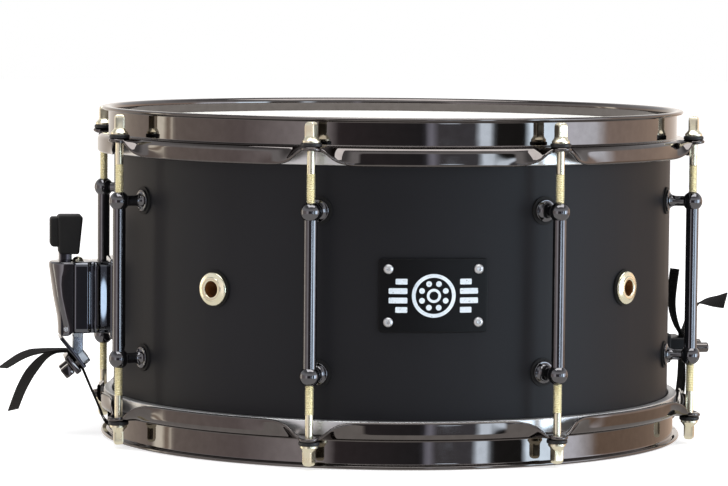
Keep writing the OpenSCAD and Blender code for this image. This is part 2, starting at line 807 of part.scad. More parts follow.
// Front plate, curved to the shell
module front_plate() {
    face_r = shell_r + curved_seat;
    half = shell_r * sin(plate_w / 2 / shell_r * 180 / PI);
    color(satin_black) difference() {
        intersection() {
            translate([0, 0, z_low]) difference() {
                cylinder(r = face_r + plate_t, h = shell_depth, $fn = shell_fn);
                translate([0, 0, -overshoot])
                    cylinder(r = face_r, h = shell_depth + 2 * overshoot, $fn = shell_fn);
            }
            translate([0, 0, z_mid + plate_rise]) rotate([90, 0, 0]) linear_extrude(shell_d) {
                square([2 * half - 2 * plate_corner, plate_h], center = true);
                square([2 * half, plate_h - 2 * plate_corner], center = true);
                for (x = [-1, 1]) for (z = [-1, 1])
                    translate([x * (half - plate_corner), z * (plate_h / 2 - plate_corner)])
                        circle(plate_corner);
            }
        }
        each_plate_screw() cylinder(d = plate_screw_d + loose, h = shell_r + plate_t + overshoot);
    }
}

// Button-head screws of the front plate
module front_plate_screws() {
    head_at = shell_r + curved_seat + plate_t + seat;
    crown = plate_screw_rise;
    shank_r = plate_screw_d / 2 - seat;
    tip = shell_r - plate_screw_l + free_gap;
    color(steel) each_plate_screw() rotate_extrude() polygon(concat(
        [[0, tip], [shank_r, tip], [shank_r, head_at], [plate_screw_head / 2, head_at]],
        [for (i = [0:6]) [plate_screw_head / 2 * cos(15 * i), head_at + 0.4 + (crown - 0.4) * sin(15 * i)]]
    ));
}

// Two screws hold the housing, and two the butt plate
module each_throw_screw() {
    for (z = [throw_low + screw_rise, throw_high - screw_rise]) outward(180, z) children();
}

module each_butt_screw() {
    for (y = [-1, 1]) rotate([0, 0, y * butt_w / 4 / shell_r * 180 / PI]) outward(0, butt_z) children();
}

// Plan of the housing: a column that swells away from the shell, a groove, and a square block with a chamfered edge
module housing_plan() {
    corner = 2;
    side = block_w / 2;
    block_x = shell_r + groove_x + groove_w / 2;
    right = concat(
        arc([shell_r + column_x, side - column_in - column_r], column_r, 146, 97, 8),
        [[shell_r + groove_x, side - groove_d], [block_x, side - chamfer_d], [block_x + chamfer_w, side]],
        arc([throw_front - corner, side - corner], corner, 90, 0)
    );
    polygon(concat([for (p = right) p], [for (i = [len(right) - 1:-1:0]) [right[i][0], -right[i][1]]]));
}

// Guide slot for the carriage's bar, open in front
module bar_slot() {
    wide_half = bar_rib_w / 2 + loose;
    stem_half = bar_w / 2 + loose;
    rib_front = bar_back + bar_rib_t + loose;
    polygon([
        [bar_back - loose, -wide_half], [rib_front, -wide_half], [rib_front, -stem_half],
        [throw_front + overshoot, -stem_half], [throw_front + overshoot, stem_half], [rib_front, stem_half],
        [rib_front, wide_half], [bar_back - loose, wide_half]
    ]);
}

// Throw-off housing with its foot plate and the lever's two knuckles
module throw_housing() {
    arm = pivot_x - throw_front + overshoot;
    color(black_nickel) throw_side() difference() {
        union() {
            translate([0, 0, throw_low]) linear_extrude(throw_h) housing_plan();
            translate([shell_r - 4, -base_w / 2, throw_low - base_plate_top])
                cube([4 + base_plate_t, base_w, throw_h + 2 * base_plate_top]);
            for (s = [-1, 1]) translate([0, s * (knuckle_out - knuckle_w / 2), pivot_z]) {
                translate([pivot_x - arm, -knuckle_w / 2, -knuckle_r]) cube([arm, knuckle_w, 2 * knuckle_r]);
                translate([pivot_x, knuckle_w / 2, 0]) rotate([90, 0, 0])
                    cylinder(r = knuckle_r, h = knuckle_w);
            }
        }
        translate([0, 0, z_low]) cylinder(r = shell_r + curved_seat, h = shell_depth, $fn = shell_fn);
        translate([0, 0, throw_low - overshoot]) linear_extrude(throw_h + 2 * overshoot) bar_slot();
        translate([bar_mid, 0, bar_top - carriage_travel - free_gap])
            cylinder(d = knob_d + 2 * loose, h = throw_h);
        translate([pivot_x, lever_w / 2, pivot_z]) rotate([90, 0, 0])
            cylinder(d = pivot_d + 2 * seat, h = lever_w);
        for (z = [throw_low + screw_rise, throw_high - screw_rise]) outward(0, z)
            cylinder(d = screw_d, h = shell_r + base_plate_t + screw_depth);
    }
}

module throw_screws() {
    color(steel) each_throw_screw() {
        shell_screw(shell_r + screw_depth);
        shell_screw_washer();
    }
}

// Lever seen from the side: foot round behind the pivot and square in front, tapered front, flat top
module lever_outline() {
    polygon(concat(
        arc([pivot_x, pivot_z], lever_r, 180, 270),
        arc([pivot_x + lever_r - lever_toe, pivot_z - lever_r + lever_toe], lever_toe, 270, 360),
        [[lever_low, lever_low_z], [lever_waist, lever_waist_z]],
        arc([lever_head - lever_nose, lever_top - lever_nose], lever_nose, 0, 90),
        [[lever_back, lever_top]]
    ));
}

// The hollow in the lever's back
module lever_hollow() {
    skin = pivot_x + knuckle_r + loose;
    polygon([
        [lever_back - overshoot, pivot_z - lever_r - overshoot], [skin, pivot_z - lever_r - overshoot],
        [skin, lever_low_z], [lever_waist - lever_wall, lever_waist_z],
        [lever_waist - lever_wall, lever_top - lever_cap], [lever_back - overshoot, lever_top - lever_cap]
    ]);
}

// Lever with the shank that carries the grip
module throw_lever() {
    color(black_nickel) throw_side() difference() {
        union() {
            difference() {
                wide(lever_w) lever_outline();
                wide(lever_w - 2 * lever_wall) lever_hollow();
            }
            translate([shank_x0, -shank_w / 2, lever_top - overshoot])
                cube([shank_t, shank_w, shank_top - lever_top + overshoot]);
        }
        translate([pivot_x, lever_w / 2 + overshoot, pivot_z]) rotate([90, 0, 0])
            cylinder(d = pivot_d + 2 * running, h = lever_w + 2 * overshoot);
    }
}

// Side view of the grip, widening upwards
module grip_outline() {
    r = grip_round;
    back_low = shank_x0 - 4.5;
    back_high = shank_x0 - 7;
    front_low = shank_x1 + 0.2;
    front_high = shank_x1 + 1;
    polygon(concat(
        arc([back_low + r, grip_low + r], r, 180, 270),
        arc([front_low - r, grip_low + r], r, 270, 360),
        arc([front_high - r, grip_high - r], r, 0, 90),
        arc([back_high + r, grip_high - r], r, 90, 180)
    ));
}

// The thumb pad on the grip's outer side
module grip_pad_outline() {
    r = grip_round;
    x0 = shank_x1 - 1;
    x1 = shank_x1 + 5.6;
    low = grip_low + 4.6;
    high = grip_high - 1.4;
    polygon(concat(
        [[x0, low]],
        arc([x1 - r, low + r], r, 270, 360),
        arc([x1 - r, high - r], r, 0, 90),
        [[x0, high]]
    ));
}

module throw_grip() {
    color(black_rubber) throw_side() difference() {
        union() {
            wide(grip_w) grip_outline();
            wide(grip_pad_w) grip_pad_outline();
        }
        translate([shank_x0 - seat, -shank_w / 2 - seat, grip_low - overshoot])
            cube([shank_t + 2 * seat, shank_w + 2 * seat, shank_top - grip_low + overshoot + seat]);
    }
}

// Pivot pin through the lever and both knuckles
module throw_pivot() {
    color(steel) throw_side() translate([pivot_x, lever_w / 2 - loose, pivot_z]) rotate([90, 0, 0])
        cylinder(d = pivot_d, h = lever_w - 2 * loose);
}

// Side view of the carriage's foot: a sloping tab, its outer face towards the clamp
module carriage_tab() {
    corners = [clamp_at(foot_low, 0), clamp_at(foot_high, 0), clamp_at(foot_high, -foot_t),
        clamp_at(foot_low, -foot_t)];
    polygon([for (q = corners) [q[0], q[1]]]);
}

// Side view of the bar's lower end, which runs down into the tab
module carriage_neck() {
    behind = clamp_z + foot_t / 2 / cos(clamp_slope);
    polygon([for (x = [bar_back, bar_front]) [x, behind + (x - clamp_x) * tan(clamp_slope)],
        [bar_front, foot_top], [bar_back, foot_top]]);
}

// Carriage: ribbed bar in the housing's slot, the foot that the strap is clamped to, and a square nut behind it
// for each clamp screw
module throw_carriage() {
    color(steel) throw_side() difference() {
        union() {
            translate([0, 0, foot_top - overshoot]) linear_extrude(bar_top - foot_top + overshoot) {
                translate([bar_back, -bar_rib_w / 2]) square([bar_rib_t, bar_rib_w]);
                translate([bar_back, -bar_w / 2]) square([bar_front - bar_back, bar_w]);
            }
            wide(clamp_w) carriage_tab();
            wide(bar_w) carriage_neck();
            for (s = [-1, 1]) clamp_bore(s) translate([-foot_nut / 2, -foot_nut / 2, overshoot + foot_t / 2])
                cube([foot_nut, foot_nut, foot_t / 2 + foot_nut_h]);
        }
        for (s = [-1, 1]) clamp_bore(s)
            cylinder(d = clamp_screw_d, h = clamp_screw_depth + free_gap + overshoot);
        translate([bar_mid, 0, bar_top - knob_screw_l - free_gap])
            cylinder(d = knob_screw_d + 2 * running, h = knob_screw_l + free_gap + overshoot);
    }
}

// Axis of a clamp screw, pointing into the carriage from just outside its face
module clamp_bore(side) {
    p = clamp_at(clamp_screw_at, overshoot);
    translate([p[0], side * clamp_screw_y, p[1]]) rotate([0, -clamp_slope, 0]) children();
}

// Adjuster knob on the carriage's top, with its screw
module throw_knob() {
    knob_low = bar_top + loose;
    knob_h = 5.8;
    dome = 3;
    tip = bar_top - knob_screw_l;
    color(steel) throw_side() translate([bar_mid, 0, 0]) rotate_extrude() polygon(concat(
        [[0, tip], [knob_screw_d / 2, tip], [knob_screw_d / 2, knob_low], [knob_d / 2, knob_low]],
        [for (i = [0:6]) [knob_d / 2 * cos(15 * i), knob_low + knob_h - dome + dome * sin(15 * i)]]
    ));
}

// Plate that presses the strap against the carriage
module throw_clamp() {
    a = clamp_at(clamp_low, strap_stack);
    b = clamp_at(clamp_high, strap_stack);
    c = clamp_at(clamp_high, strap_stack + clamp_t);
    d = clamp_at(clamp_low, strap_stack + clamp_t);
    p = clamp_at(clamp_screw_at, strap_stack + clamp_t + overshoot);
    color(steel) throw_side() difference() {
        wide(clamp_w) polygon([for (q = [a, b, c, d]) [q[0], q[1]]]);
        for (s = [-1, 1]) translate([p[0], s * clamp_screw_y, p[1]]) rotate([0, -clamp_slope, 0])
            cylinder(d = clamp_screw_d + loose, h = clamp_t + 2 * overshoot);
    }
}

// Square-headed screws of the clamp
module throw_clamp_screws() {
    head_off = strap_stack + clamp_t + seat;
    p = clamp_at(clamp_screw_at, head_off);
    color(steel) throw_side() for (s = [-1, 1])
        translate([p[0], s * clamp_screw_y, p[1]]) rotate([0, -clamp_slope, 0]) {
            cylinder(d = clamp_screw_d - 2 * seat, h = head_off + clamp_screw_depth);
            translate([-clamp_head / 2, -clamp_head / 2, -clamp_head_h])
                cube([clamp_head, clamp_head, clamp_head_h]);
        }
}

module throw_strap() {
    color(strap_black) throw_side() strap(throw_route, strap_w, strap_t);
}

// Butt plate body with a saddle against the shell
module butt_body() {
    color(black_nickel) difference() {
        union() {
            translate([shell_r - 3, -butt_w / 2, butt_z - butt_h / 2])
                cube([butt_front - shell_r + 3, butt_w, butt_h]);
            translate([shell_r - 3, -butt_w / 2 - 3, butt_z - butt_base_h / 2])
                cube([3 + butt_base_t, butt_w + 6, butt_base_h]);
        }
        translate([0, 0, z_low]) cylinder(r = shell_r + curved_seat, h = shell_depth, $fn = shell_fn);
        each_butt_screw() cylinder(d = screw_d, h = shell_r + screw_depth + free_gap);
        for (y = [-1, 1]) translate([butt_front - clamp_screw_depth - free_gap, y * clamp_screw_y, butt_z])
            rotate([0, 90, 0]) cylinder(d = clamp_screw_d, h = clamp_screw_depth + free_gap + overshoot);
    }
}

module butt_screws() {
    color(steel) each_butt_screw() {
        shell_screw(shell_r + screw_depth);
        shell_screw_washer();
    }
}

module butt_clamp() {
    color(black_nickel) difference() {
        translate([butt_front + strap_stack, -clamp_w / 2, butt_z - butt_h / 2])
            cube([butt_clamp_t, clamp_w, butt_h]);
        for (y = [-1, 1]) translate([butt_front, y * clamp_screw_y, butt_z]) rotate([0, 90, 0])
            cylinder(d = clamp_screw_d + loose, h = strap_stack + butt_clamp_t + overshoot);
    }
}

// Round-headed thumb screws of the butt plate's clamp
module butt_clamp_screws() {
    head_at = strap_stack + butt_clamp_t + seat;
    color(black_nickel) for (y = [-1, 1]) translate([butt_front, y * clamp_screw_y, butt_z])
        rotate([0, 90, 0]) rotate_extrude() polygon(concat(
            [[0, -clamp_screw_depth], [clamp_screw_d / 2 - seat, -clamp_screw_depth]],
            [[clamp_screw_d / 2 - seat, head_at], [butt_head_d / 2, head_at]],
            arc([butt_head_d / 2 - 1.2, head_at + butt_head_l - 1.2], 1.2, 0, 90),
            [[0, head_at + butt_head_l]]
        ));
}

module butt_strap() {
    color(strap_black) strap(butt_route, strap_w, strap_t);
}

// Wire strands, soldered to the end plates
module snare_wires() {
    color(steel) for (i = [0:strand_count - 1])
        translate([-wire_half, (i - (strand_count - 1) / 2) * strand_pitch, wire_z]) rotate([0, 90, 0])
            cylinder(d = strand_d, h = 2 * wire_half, $fn = 24);
}

// End plate with the slot that the strap is threaded through
module end_plate() {
    color(steel) translate([plate_reach - end_plate_l, -end_plate_w / 2, end_plate_z]) difference() {
        cube([end_plate_l, end_plate_w, end_plate_t]);
        translate([end_plate_l - slot_bar - slot_l, (end_plate_w - slot_w) / 2, -overshoot])
            cube([slot_l, slot_w, end_plate_t + 2 * overshoot]);
    }
}

module throw_end_plate() {
    throw_side() end_plate();
}

module butt_end_plate() {
    end_plate();
}

shell();
batter_film();
batter_ring();
snare_film();
snare_ring();
batter_hoop();
snare_hoop();
lug_posts();
lug_gaskets();
lug_screws();
lug_screw_washers();
rod_washers();
for (i = lug_names) lug_tube(i);
for (i = lug_names) batter_rod(i);
for (i = lug_names) snare_rod(i);
vent_grommets();
vent_gaskets();
vent_nuts();
front_plate();
front_plate_screws();
throw_housing();
throw_screws();
throw_lever();
throw_grip();
throw_pivot();
throw_carriage();
throw_knob();
throw_clamp();
throw_clamp_screws();
throw_strap();
butt_body();
butt_screws();
butt_clamp();
butt_clamp_screws();
butt_strap();
snare_wires();
throw_end_plate();
butt_end_plate();
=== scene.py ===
"""A 14 by 7.5 inch snare drum: lacquered shell, two heads under pressed hoops, tube lugs, throw-off, snares, straps."""
import math

import bmesh
import bpy
import numpy as np
from mathutils import Matrix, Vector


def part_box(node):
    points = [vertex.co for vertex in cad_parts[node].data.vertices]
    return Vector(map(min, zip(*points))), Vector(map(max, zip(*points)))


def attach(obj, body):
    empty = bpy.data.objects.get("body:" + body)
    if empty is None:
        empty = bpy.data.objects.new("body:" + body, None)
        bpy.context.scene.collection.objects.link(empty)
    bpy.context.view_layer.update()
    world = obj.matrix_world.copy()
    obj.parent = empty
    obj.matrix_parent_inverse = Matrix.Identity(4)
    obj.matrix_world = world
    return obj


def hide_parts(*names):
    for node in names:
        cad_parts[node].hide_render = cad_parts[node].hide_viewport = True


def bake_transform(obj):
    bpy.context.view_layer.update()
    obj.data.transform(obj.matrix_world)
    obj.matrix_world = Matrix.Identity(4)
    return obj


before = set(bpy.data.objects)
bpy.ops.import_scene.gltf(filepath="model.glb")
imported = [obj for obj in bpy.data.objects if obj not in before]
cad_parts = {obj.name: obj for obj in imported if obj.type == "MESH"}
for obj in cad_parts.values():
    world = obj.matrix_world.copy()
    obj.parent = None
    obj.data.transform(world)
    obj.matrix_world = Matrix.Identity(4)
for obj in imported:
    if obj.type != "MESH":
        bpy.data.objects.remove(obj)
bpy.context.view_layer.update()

# Camera. A long lens a little over two metres away, just above the upper rim and to the left of the drum's front,
# looking slightly down. Shapes below are worked out in millimetres, and MM turns them into metres.
MM = 0.001
lens, eye_distance, eye_height = 172.585, 2236.714, 287.36
yaw, pan, pitch, roll = (math.radians(a) for a in (8.374, -0.45, 4.252, 0.512))
optics = bpy.data.cameras.new("long_lens")
optics.sensor_width = 36
optics.lens = lens
camera = bpy.data.objects.new("camera", optics)
bpy.context.scene.collection.objects.link(camera)
eye = (-eye_distance * math.sin(yaw) * MM, -eye_distance * math.cos(yaw) * MM, eye_height * MM)
camera.matrix_world = (Matrix.Translation(eye) @ Matrix.Rotation(-yaw - pan, 4, "Z")
                       @ Matrix.Rotation(math.pi / 2 - pitch, 4, "X") @ Matrix.Rotation(roll, 4, "Z"))
bpy.context.scene.camera = camera

# Shell. A cylinder of maple plies with bevelled bearing edges, bored for its fittings, sprayed satin black outside
# and left as bare wood inside. Its solid has the right shape and only needs its finish.
shell_low, shell_high = (np.array(corner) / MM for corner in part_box("shell"))
shell_r, z_low, z_high = shell_high[0], shell_low[2], shell_high[2]
z_mid = (z_low + z_high) / 2


def srgb(code):
    """Linear colour of an sRGB hex code: each channel through the sRGB transfer curve."""
    c = np.array([int(code[i:i + 2], 16) for i in (1, 3, 5)]) / 255
    return (*np.where(c <= 0.04045, c / 12.92, ((c + 0.055) / 1.055) ** 2.4).tolist(), 1)


def finish(name):
    """A new material with an empty node tree."""
    material = bpy.data.materials.new(name)
    material.use_nodes = True
    material.node_tree.nodes.clear()
    return material, material.node_tree


def add(tree, kind, wires=None, **settings):
    """Adds a node. Settings are its own properties, and wires give an input a value, a socket, or a node, which stands
    for its first output in use."""
    node = tree.nodes.new("ShaderNode" + kind)
    for name, value in settings.items():
        setattr(node, name, value)
    for socket, value in (wires or {}).items():
        if isinstance(value, bpy.types.Node):
            value = next(output for output in value.outputs if output.enabled)
        if isinstance(value, bpy.types.NodeSocket):
            tree.links.new(value, node.inputs[socket])
        else:
            node.inputs[socket].default_value = value
    return node


def dress(material, *names):
    """Gives the CAD nodes that keep their own shape a material."""
    for name in names:
        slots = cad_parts[name].data.materials
        slots.clear()
        slots.append(material)


# Satin lacquer: a deep black film with a fine orange peel that spreads highlights into a wide soft sheen. The peel's
# cells are about 1.4 mm. Inside the shell the same material shows rotary-cut maple, its grain 3 mm wide and long
# round the shell.
satin_lacquer, tree = finish("satin_black_lacquer")
place = add(tree, "TexCoord").outputs["Object"]
level = add(tree, "VectorMath", {0: place, 1: (1, 1, 0)}, operation="MULTIPLY")
reach = add(tree, "VectorMath", {0: level}, operation="LENGTH")
outside = add(tree, "Math", {0: reach, 1: (shell_r - 0.5) * MM}, operation="GREATER_THAN")
peel = add(tree, "TexNoise", {"Vector": place, "Scale": 1 / (1.4 * MM), "Detail": 2})
cloud = add(tree, "TexNoise", {"Vector": place, "Scale": 1 / (70 * MM), "Detail": 3})
black = add(tree, "Mix", {0: cloud, 6: srgb("#131316"), 7: srgb("#1a1a1e")}, data_type="RGBA")
long_grain = add(tree, "Mapping", {"Vector": place, "Scale": (1, 1, 12)})
grain = add(tree, "TexNoise", {"Vector": long_grain, "Scale": 1 / (36 * MM), "Detail": 6, "Roughness": 0.7})
maple = add(tree, "Mix", {0: grain, 6: srgb("#b98a56"), 7: srgb("#e3c196")}, data_type="RGBA")
tint = add(tree, "Mix", {0: outside, 6: maple, 7: black}, data_type="RGBA")
sheen = add(tree, "MapRange", {"Value": cloud, "To Min": 0.46, "To Max": 0.56})
bump = add(tree, "Bump", {"Height": peel, "Strength": 0.12, "Distance": 0.08 * MM})
shader = add(tree, "BsdfPrincipled", {"Base Color": tint, "Roughness": sheen,
                                      "Specular IOR Level": 0.24, "Normal": bump})
add(tree, "OutputMaterial", {"Surface": shader})
dress(satin_lacquer, "shell")

# Air vents. Two brass grommets spun from tube: a domed flange with a raised lip round the hole, through the shell on
# a rubber gasket and held by a lock nut inside.
vent_angles = np.radians((-135, -45))
gasket_t, bedding = 1.0, 0.1
bed_r, seat_r = shell_r + bedding, shell_r + gasket_t + bedding
vent_bore_r, vent_tube_r, vent_lip_r, vent_flange_r, vent_back, vent_drop = 4.85, 6.35, 6.9, 10.25, 166.5, 1.2
lip_rise, dome_rise, brim_rise, polished_l = 3.0, 2.5, 1.7, 0.9
z_vent = z_mid - vent_drop


def rounded(corners, steps=6, closed=True):
    """Points along an outline with rounded corners, each given as (u, v, radius). A corner's arc leaves its sides a
    tangent length radius / tan(half angle) away and is the rational quadratic curve whose middle weight is
    sin(half angle), which is a true circle."""
    corners = np.asarray(corners, float)
    at, radius = corners[:, :2], corners[:, 2]
    back, ahead = np.roll(at, 1, 0) - at, np.roll(at, -1, 0) - at
    back /= np.linalg.norm(back, axis=1, keepdims=True)
    ahead /= np.linalg.norm(ahead, axis=1, keepdims=True)
    half = np.arccos(np.clip((back * ahead).sum(1), -1, 1)) / 2
    leg = (radius / np.tan(half))[:, None]
    weight = np.sin(half)[:, None]
    t = np.linspace(0, 1, steps + 1)[:, None, None]
    blend = (1 - t) ** 2 + 2 * weight * t * (1 - t) + t ** 2
    arcs = ((1 - t) ** 2 * (at + back * leg) + 2 * weight * t * (1 - t) * at + t ** 2 * (at + ahead * leg)) / blend
    points = arcs.swapaxes(0, 1).reshape(-1, 2)
    points = np.concatenate([points, points[:1]]) if closed else points
    return points[np.append(True, np.linalg.norm(np.diff(points, axis=0), axis=1) > 1e-6)]


def about_axis(r, a, z):
    """Points at a radius, an angle and a height about Z, spread to one grid: x = r cos a, y = r sin a."""
    return np.stack(np.broadcast_arrays(r * np.cos(a), r * np.sin(a), z), -1)


def lathe(profile, turns):
    """A profile of (radius, height) points carried round Z."""
    r, z = np.asarray(profile, float).T[:, :, None]
    return about_axis(r, np.linspace(0, 2 * np.pi, turns + 1), z)


def outward(grid, angle, height):
    """Stands a shape drawn up Z on the shell: its Z points away from the drum's axis at that angle and height."""
    x, y, z = np.moveaxis(grid, -1, 0)
    c, s = np.cos(angle), np.sin(angle)
    return np.stack([z * c - y * s, z * s + y * c, height - x], -1)


def skin(name, grids, material, nodes, body="root", capped=False, sharp=38, weave=None):
    """Makes a piece from grids of points. Neighbouring points of a grid (rows, columns, 3) are joined by four-sided
    faces, and a capped grid has its first and last rows filled by flat faces. Points that meet are merged, faces are
    turned outwards, and edges sharper than the angle stay crisp. Material is one for all, or one for each grid, and
    weave is each point's place on a ribbon, kept as a UV map. The piece rides on its body and stands for the CAD
    nodes."""
    points, faces, layers, start = [], [], [], 0
    finishes = list(dict.fromkeys(material)) if isinstance(material, list) else [material]
    for number, grid in enumerate(grids):
        rows, columns = grid.shape[:2]
        index = start + np.arange(rows * columns).reshape(rows, columns)
        sides = np.stack([index[:-1, :-1], index[:-1, 1:], index[1:, 1:], index[1:, :-1]], -1).reshape(-1, 4).tolist()
        if capped:
            sides += [index[0, :-1].tolist(), index[-1, :-1].tolist()]
        points.append(grid.reshape(-1, 3))
        faces += sides
        layers += [finishes.index(material[number]) if isinstance(material, list) else 0] * len(sides)
        start += rows * columns
    mesh = bpy.data.meshes.new(name)
    mesh.from_pydata((np.concatenate(points) * MM).tolist(), [], faces)
    mesh.polygons.foreach_set("material_index", layers)
    if weave is not None:
        corner = np.empty(len(mesh.loops), int)
        mesh.loops.foreach_get("vertex_index", corner)
        mesh.uv_layers.new(name="weave").data.foreach_set("uv", (weave.reshape(-1, 2)[corner] * MM).ravel())
    form = bmesh.new()
    form.from_mesh(mesh)
    bmesh.ops.remove_doubles(form, verts=form.verts, dist=1e-6)
    bmesh.ops.dissolve_degenerate(form, edges=form.edges, dist=1e-7)
    bmesh.ops.recalc_face_normals(form, faces=form.faces)
    form.to_mesh(mesh)
    form.free()
    mesh.shade_smooth()
    corners = np.empty(len(mesh.polygons), int)
    mesh.polygons.foreach_get("loop_total", corners)
    mesh.polygons.foreach_set("use_smooth", corners <= 4)
    mesh.set_sharp_from_angle(angle=math.radians(sharp))
    for each in finishes:
        mesh.materials.append(each)
    piece = bpy.data.objects.new(name, mesh)
    bpy.context.scene.collection.objects.link(piece)
    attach(piece, body)
    if nodes:
        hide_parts(*nodes)
    return piece


def clouded(name, dark, pale, size, detail, gloss, metallic=0, specular=0.5, relief=None, stretch=None, glow=0):
    """A finish that wavers between two colours in clouds of a size in millimetres, squeezed along an axis if asked.
    Gloss is its roughness, or the range of it that follows the clouds, and relief is the size, detail, strength and
    depth of a bump."""
    material, tree = finish(name)
    place = add(tree, "TexCoord").outputs["Object"]
    drawn = add(tree, "Mapping", {"Vector": place, "Scale": stretch}) if stretch else place
    cloud = add(tree, "TexNoise", {"Vector": drawn, "Scale": 1 / (size * MM), "Detail": detail})
    tint = add(tree, "Mix", {0: cloud, 6: srgb(dark), 7: srgb(pale)}, data_type="RGBA")
    wires = {"Base Color": tint, "Roughness": gloss, "Metallic": metallic, "Specular IOR Level": specular,
             "Emission Strength": glow}
    if isinstance(gloss, tuple):
        wires["Roughness"] = add(tree, "MapRange", {"Value": cloud, "To Min": gloss[0], "To Max": gloss[1]})
    if relief:
        grain, fineness, strength, depth = relief
        grit = add(tree, "TexNoise", {"Vector": place, "Scale": 1 / (grain * MM), "Detail": fineness})
        wires["Normal"] = add(tree, "Bump", {"Height": grit, "Strength": strength, "Distance": depth * MM})
    add(tree, "OutputMaterial", {"Surface": add(tree, "BsdfPrincipled", wires)})
    return material


# Polished brass: a warm, very pale gold, its shine softened by hair-fine buffing marks 0.3 mm apart and by a haze
# where it is handled.
polished_brass = clouded("polished_brass", "#f8efca", "#fefae4", size=6, detail=4, gloss=(0.16, 0.26), metallic=1,
                         relief=(0.3, 1, 0.02, 0.02))

# Moulded rubber: charcoal black and matte, with a fine mould texture of 0.5 mm grains and a greyish bloom.
black_rubber = clouded("moulded_black_rubber", "#121212", "#1f1e1e", size=9, detail=5, gloss=0.62, specular=0.25,
                       relief=(0.5, 2, 0.25, 0.08))

# Shaded brass: the inside of a vent's tube, dull brown with 2 mm stains, a painted shade for the dark depth of the
# hole.
shaded_bore_brass = clouded("shaded_bore_brass", "#6a3f20", "#94602f", size=2, detail=4, gloss=0.55, metallic=0.4)

bore_top = seat_r + lip_rise - polished_l
flange = lathe(rounded([
    (vent_bore_r, bore_top, 0), (vent_bore_r, seat_r + lip_rise, 0.8), (vent_lip_r, seat_r + lip_rise, 0.7),
    (vent_lip_r + 0.5, seat_r + dome_rise, 0.4), (vent_flange_r, seat_r + brim_rise, 1.3), (vent_flange_r, seat_r, 0.2),
    (vent_tube_r, seat_r, 0), (vent_tube_r, vent_back, 0.3), (vent_bore_r, vent_back, 0)], closed=False), turns=72)
# The bore wears the shaded brass: its dull brown is painted shade for the inside of the hole.
bore = lathe([(vent_bore_r, vent_back), (vent_bore_r, bore_top)], turns=72)
skin("vent_grommet", [outward(grid, a, z_vent) for a in vent_angles for grid in (flange, bore)],
     [polished_brass, shaded_bore_brass] * 2, ["vent_grommets"])
dress(black_rubber, "vent_gaskets")
dress(polished_brass, "vent_nuts")

# Front plate. A stamped metal plate bent to the shell and enamelled black, with a worn pale print, held by four
# stainless button-head screws with hexagon sockets.
plate_w, plate_h, plate_t, plate_corner, plate_edge = 65.0, 44.0, 2.0, 2.0, 0.45
plate_left, plate_drop, screw_from_end, screw_from_top = 0.7, 1.0, 5.7, 6.2
plate_turn, z_plate, face_r = -plate_left / shell_r, z_mid - plate_drop, bed_r + plate_t


def evenly(outline, count):
    """The same outline with points at equal distances along it."""
    run = np.append(0, np.cumsum(np.linalg.norm(np.diff(outline, axis=0), axis=1)))
    at = np.linspace(0, run[-1], count + 1)
    return np.stack([np.interp(at, run, outline[:, k]) for k in (0, 1)], -1)


def slab(outline, levels):
    """A closed outline carried through levels of (height, inset). Each point moves inwards by the inset along its
    mitred normal, the sum of its two sides' normals over one plus their product."""
    p = outline[:-1]
    side = np.roll(p, -1, 0) - p
    side /= np.linalg.norm(side, axis=1, keepdims=True)
    turn = np.sign((p[:, 0] * np.roll(p, -1, 0)[:, 1] - p[:, 1] * np.roll(p, -1, 0)[:, 0]).sum())
    ahead = turn * np.stack([-side[:, 1], side[:, 0]], -1)
    back = np.roll(ahead, 1, 0)
    mitre = (ahead + back) / (1 + (ahead * back).sum(1, keepdims=True))
    grid = np.stack([np.column_stack([p + inset * mitre, np.full(len(p), height)]) for height, inset in levels])
    return np.concatenate([grid, grid[:, :1]], 1)


def eased(start, end, radius, steps=5):
    """Levels from start to end with both edges rounded: inset r (1 - sin a) at height r (1 - cos a)."""
    a = np.linspace(0, np.pi / 2, steps + 1)
    rise, inset = radius * (1 - np.cos(a)), radius * (1 - np.sin(a))
    return [*zip(start + rise, inset), *zip((end - rise)[::-1], inset[::-1])]


def filled(grid, rings):
    """Closes both ends of a slab that will be bent: rings shrink its first and last rows evenly to their middles."""
    s = np.linspace(0, 1, rings)[:, None, None]
    low, high = grid[0].mean(0), grid[-1].mean(0)
    return np.concatenate([low + s * (grid[0] - low), grid[1:-1], high + s[::-1] * (grid[-1] - high)])


def on_front(grid):
    """Bends a slab of (across, up, radius) round the front of the shell."""
    across, up, r = np.moveaxis(grid, -1, 0)
    a = across / shell_r + plate_turn
    return np.stack([r * np.sin(a), -r * np.cos(a), z_plate + up], -1)


def box_outline(w, h, radius, u=0.0, v=0.0):
    """Outline of a rectangle about a middle, with rounded corners."""
    return rounded([(u - w / 2, v - h / 2, radius), (u + w / 2, v - h / 2, radius), (u + w / 2, v + h / 2, radius),
                    (u - w / 2, v + h / 2, radius)])


# Black enamel: a stoved paint, smooth and half glossy, with flow marks of about 4 mm and lighter scuffs.
black_enamel, tree = finish("black_enamel")
place = add(tree, "TexCoord").outputs["Object"]
flow = add(tree, "TexNoise", {"Vector": place, "Scale": 1 / (4 * MM), "Detail": 3})
scuff = add(tree, "TexNoise", {"Vector": place, "Scale": 1 / (1.1 * MM), "Detail": 8, "Roughness": 0.75})
worn = add(tree, "MapRange", {"Value": scuff, "From Min": 0.6, "From Max": 0.8})
jet = add(tree, "Mix", {0: worn, 6: srgb("#08080a"), 7: srgb("#232327")}, data_type="RGBA")
gloss = add(tree, "MapRange", {"Value": scuff, "To Min": 0.25, "To Max": 0.5})
bump = add(tree, "Bump", {"Height": flow, "Strength": 0.06, "Distance": 0.1 * MM})
shader = add(tree, "BsdfPrincipled", {"Base Color": jet, "Roughness": gloss,
                                      "Specular IOR Level": 0.2, "Normal": bump})
add(tree, "OutputMaterial", {"Surface": shader})
plate_outline = evenly(box_outline(plate_w, plate_h, plate_corner), 220)
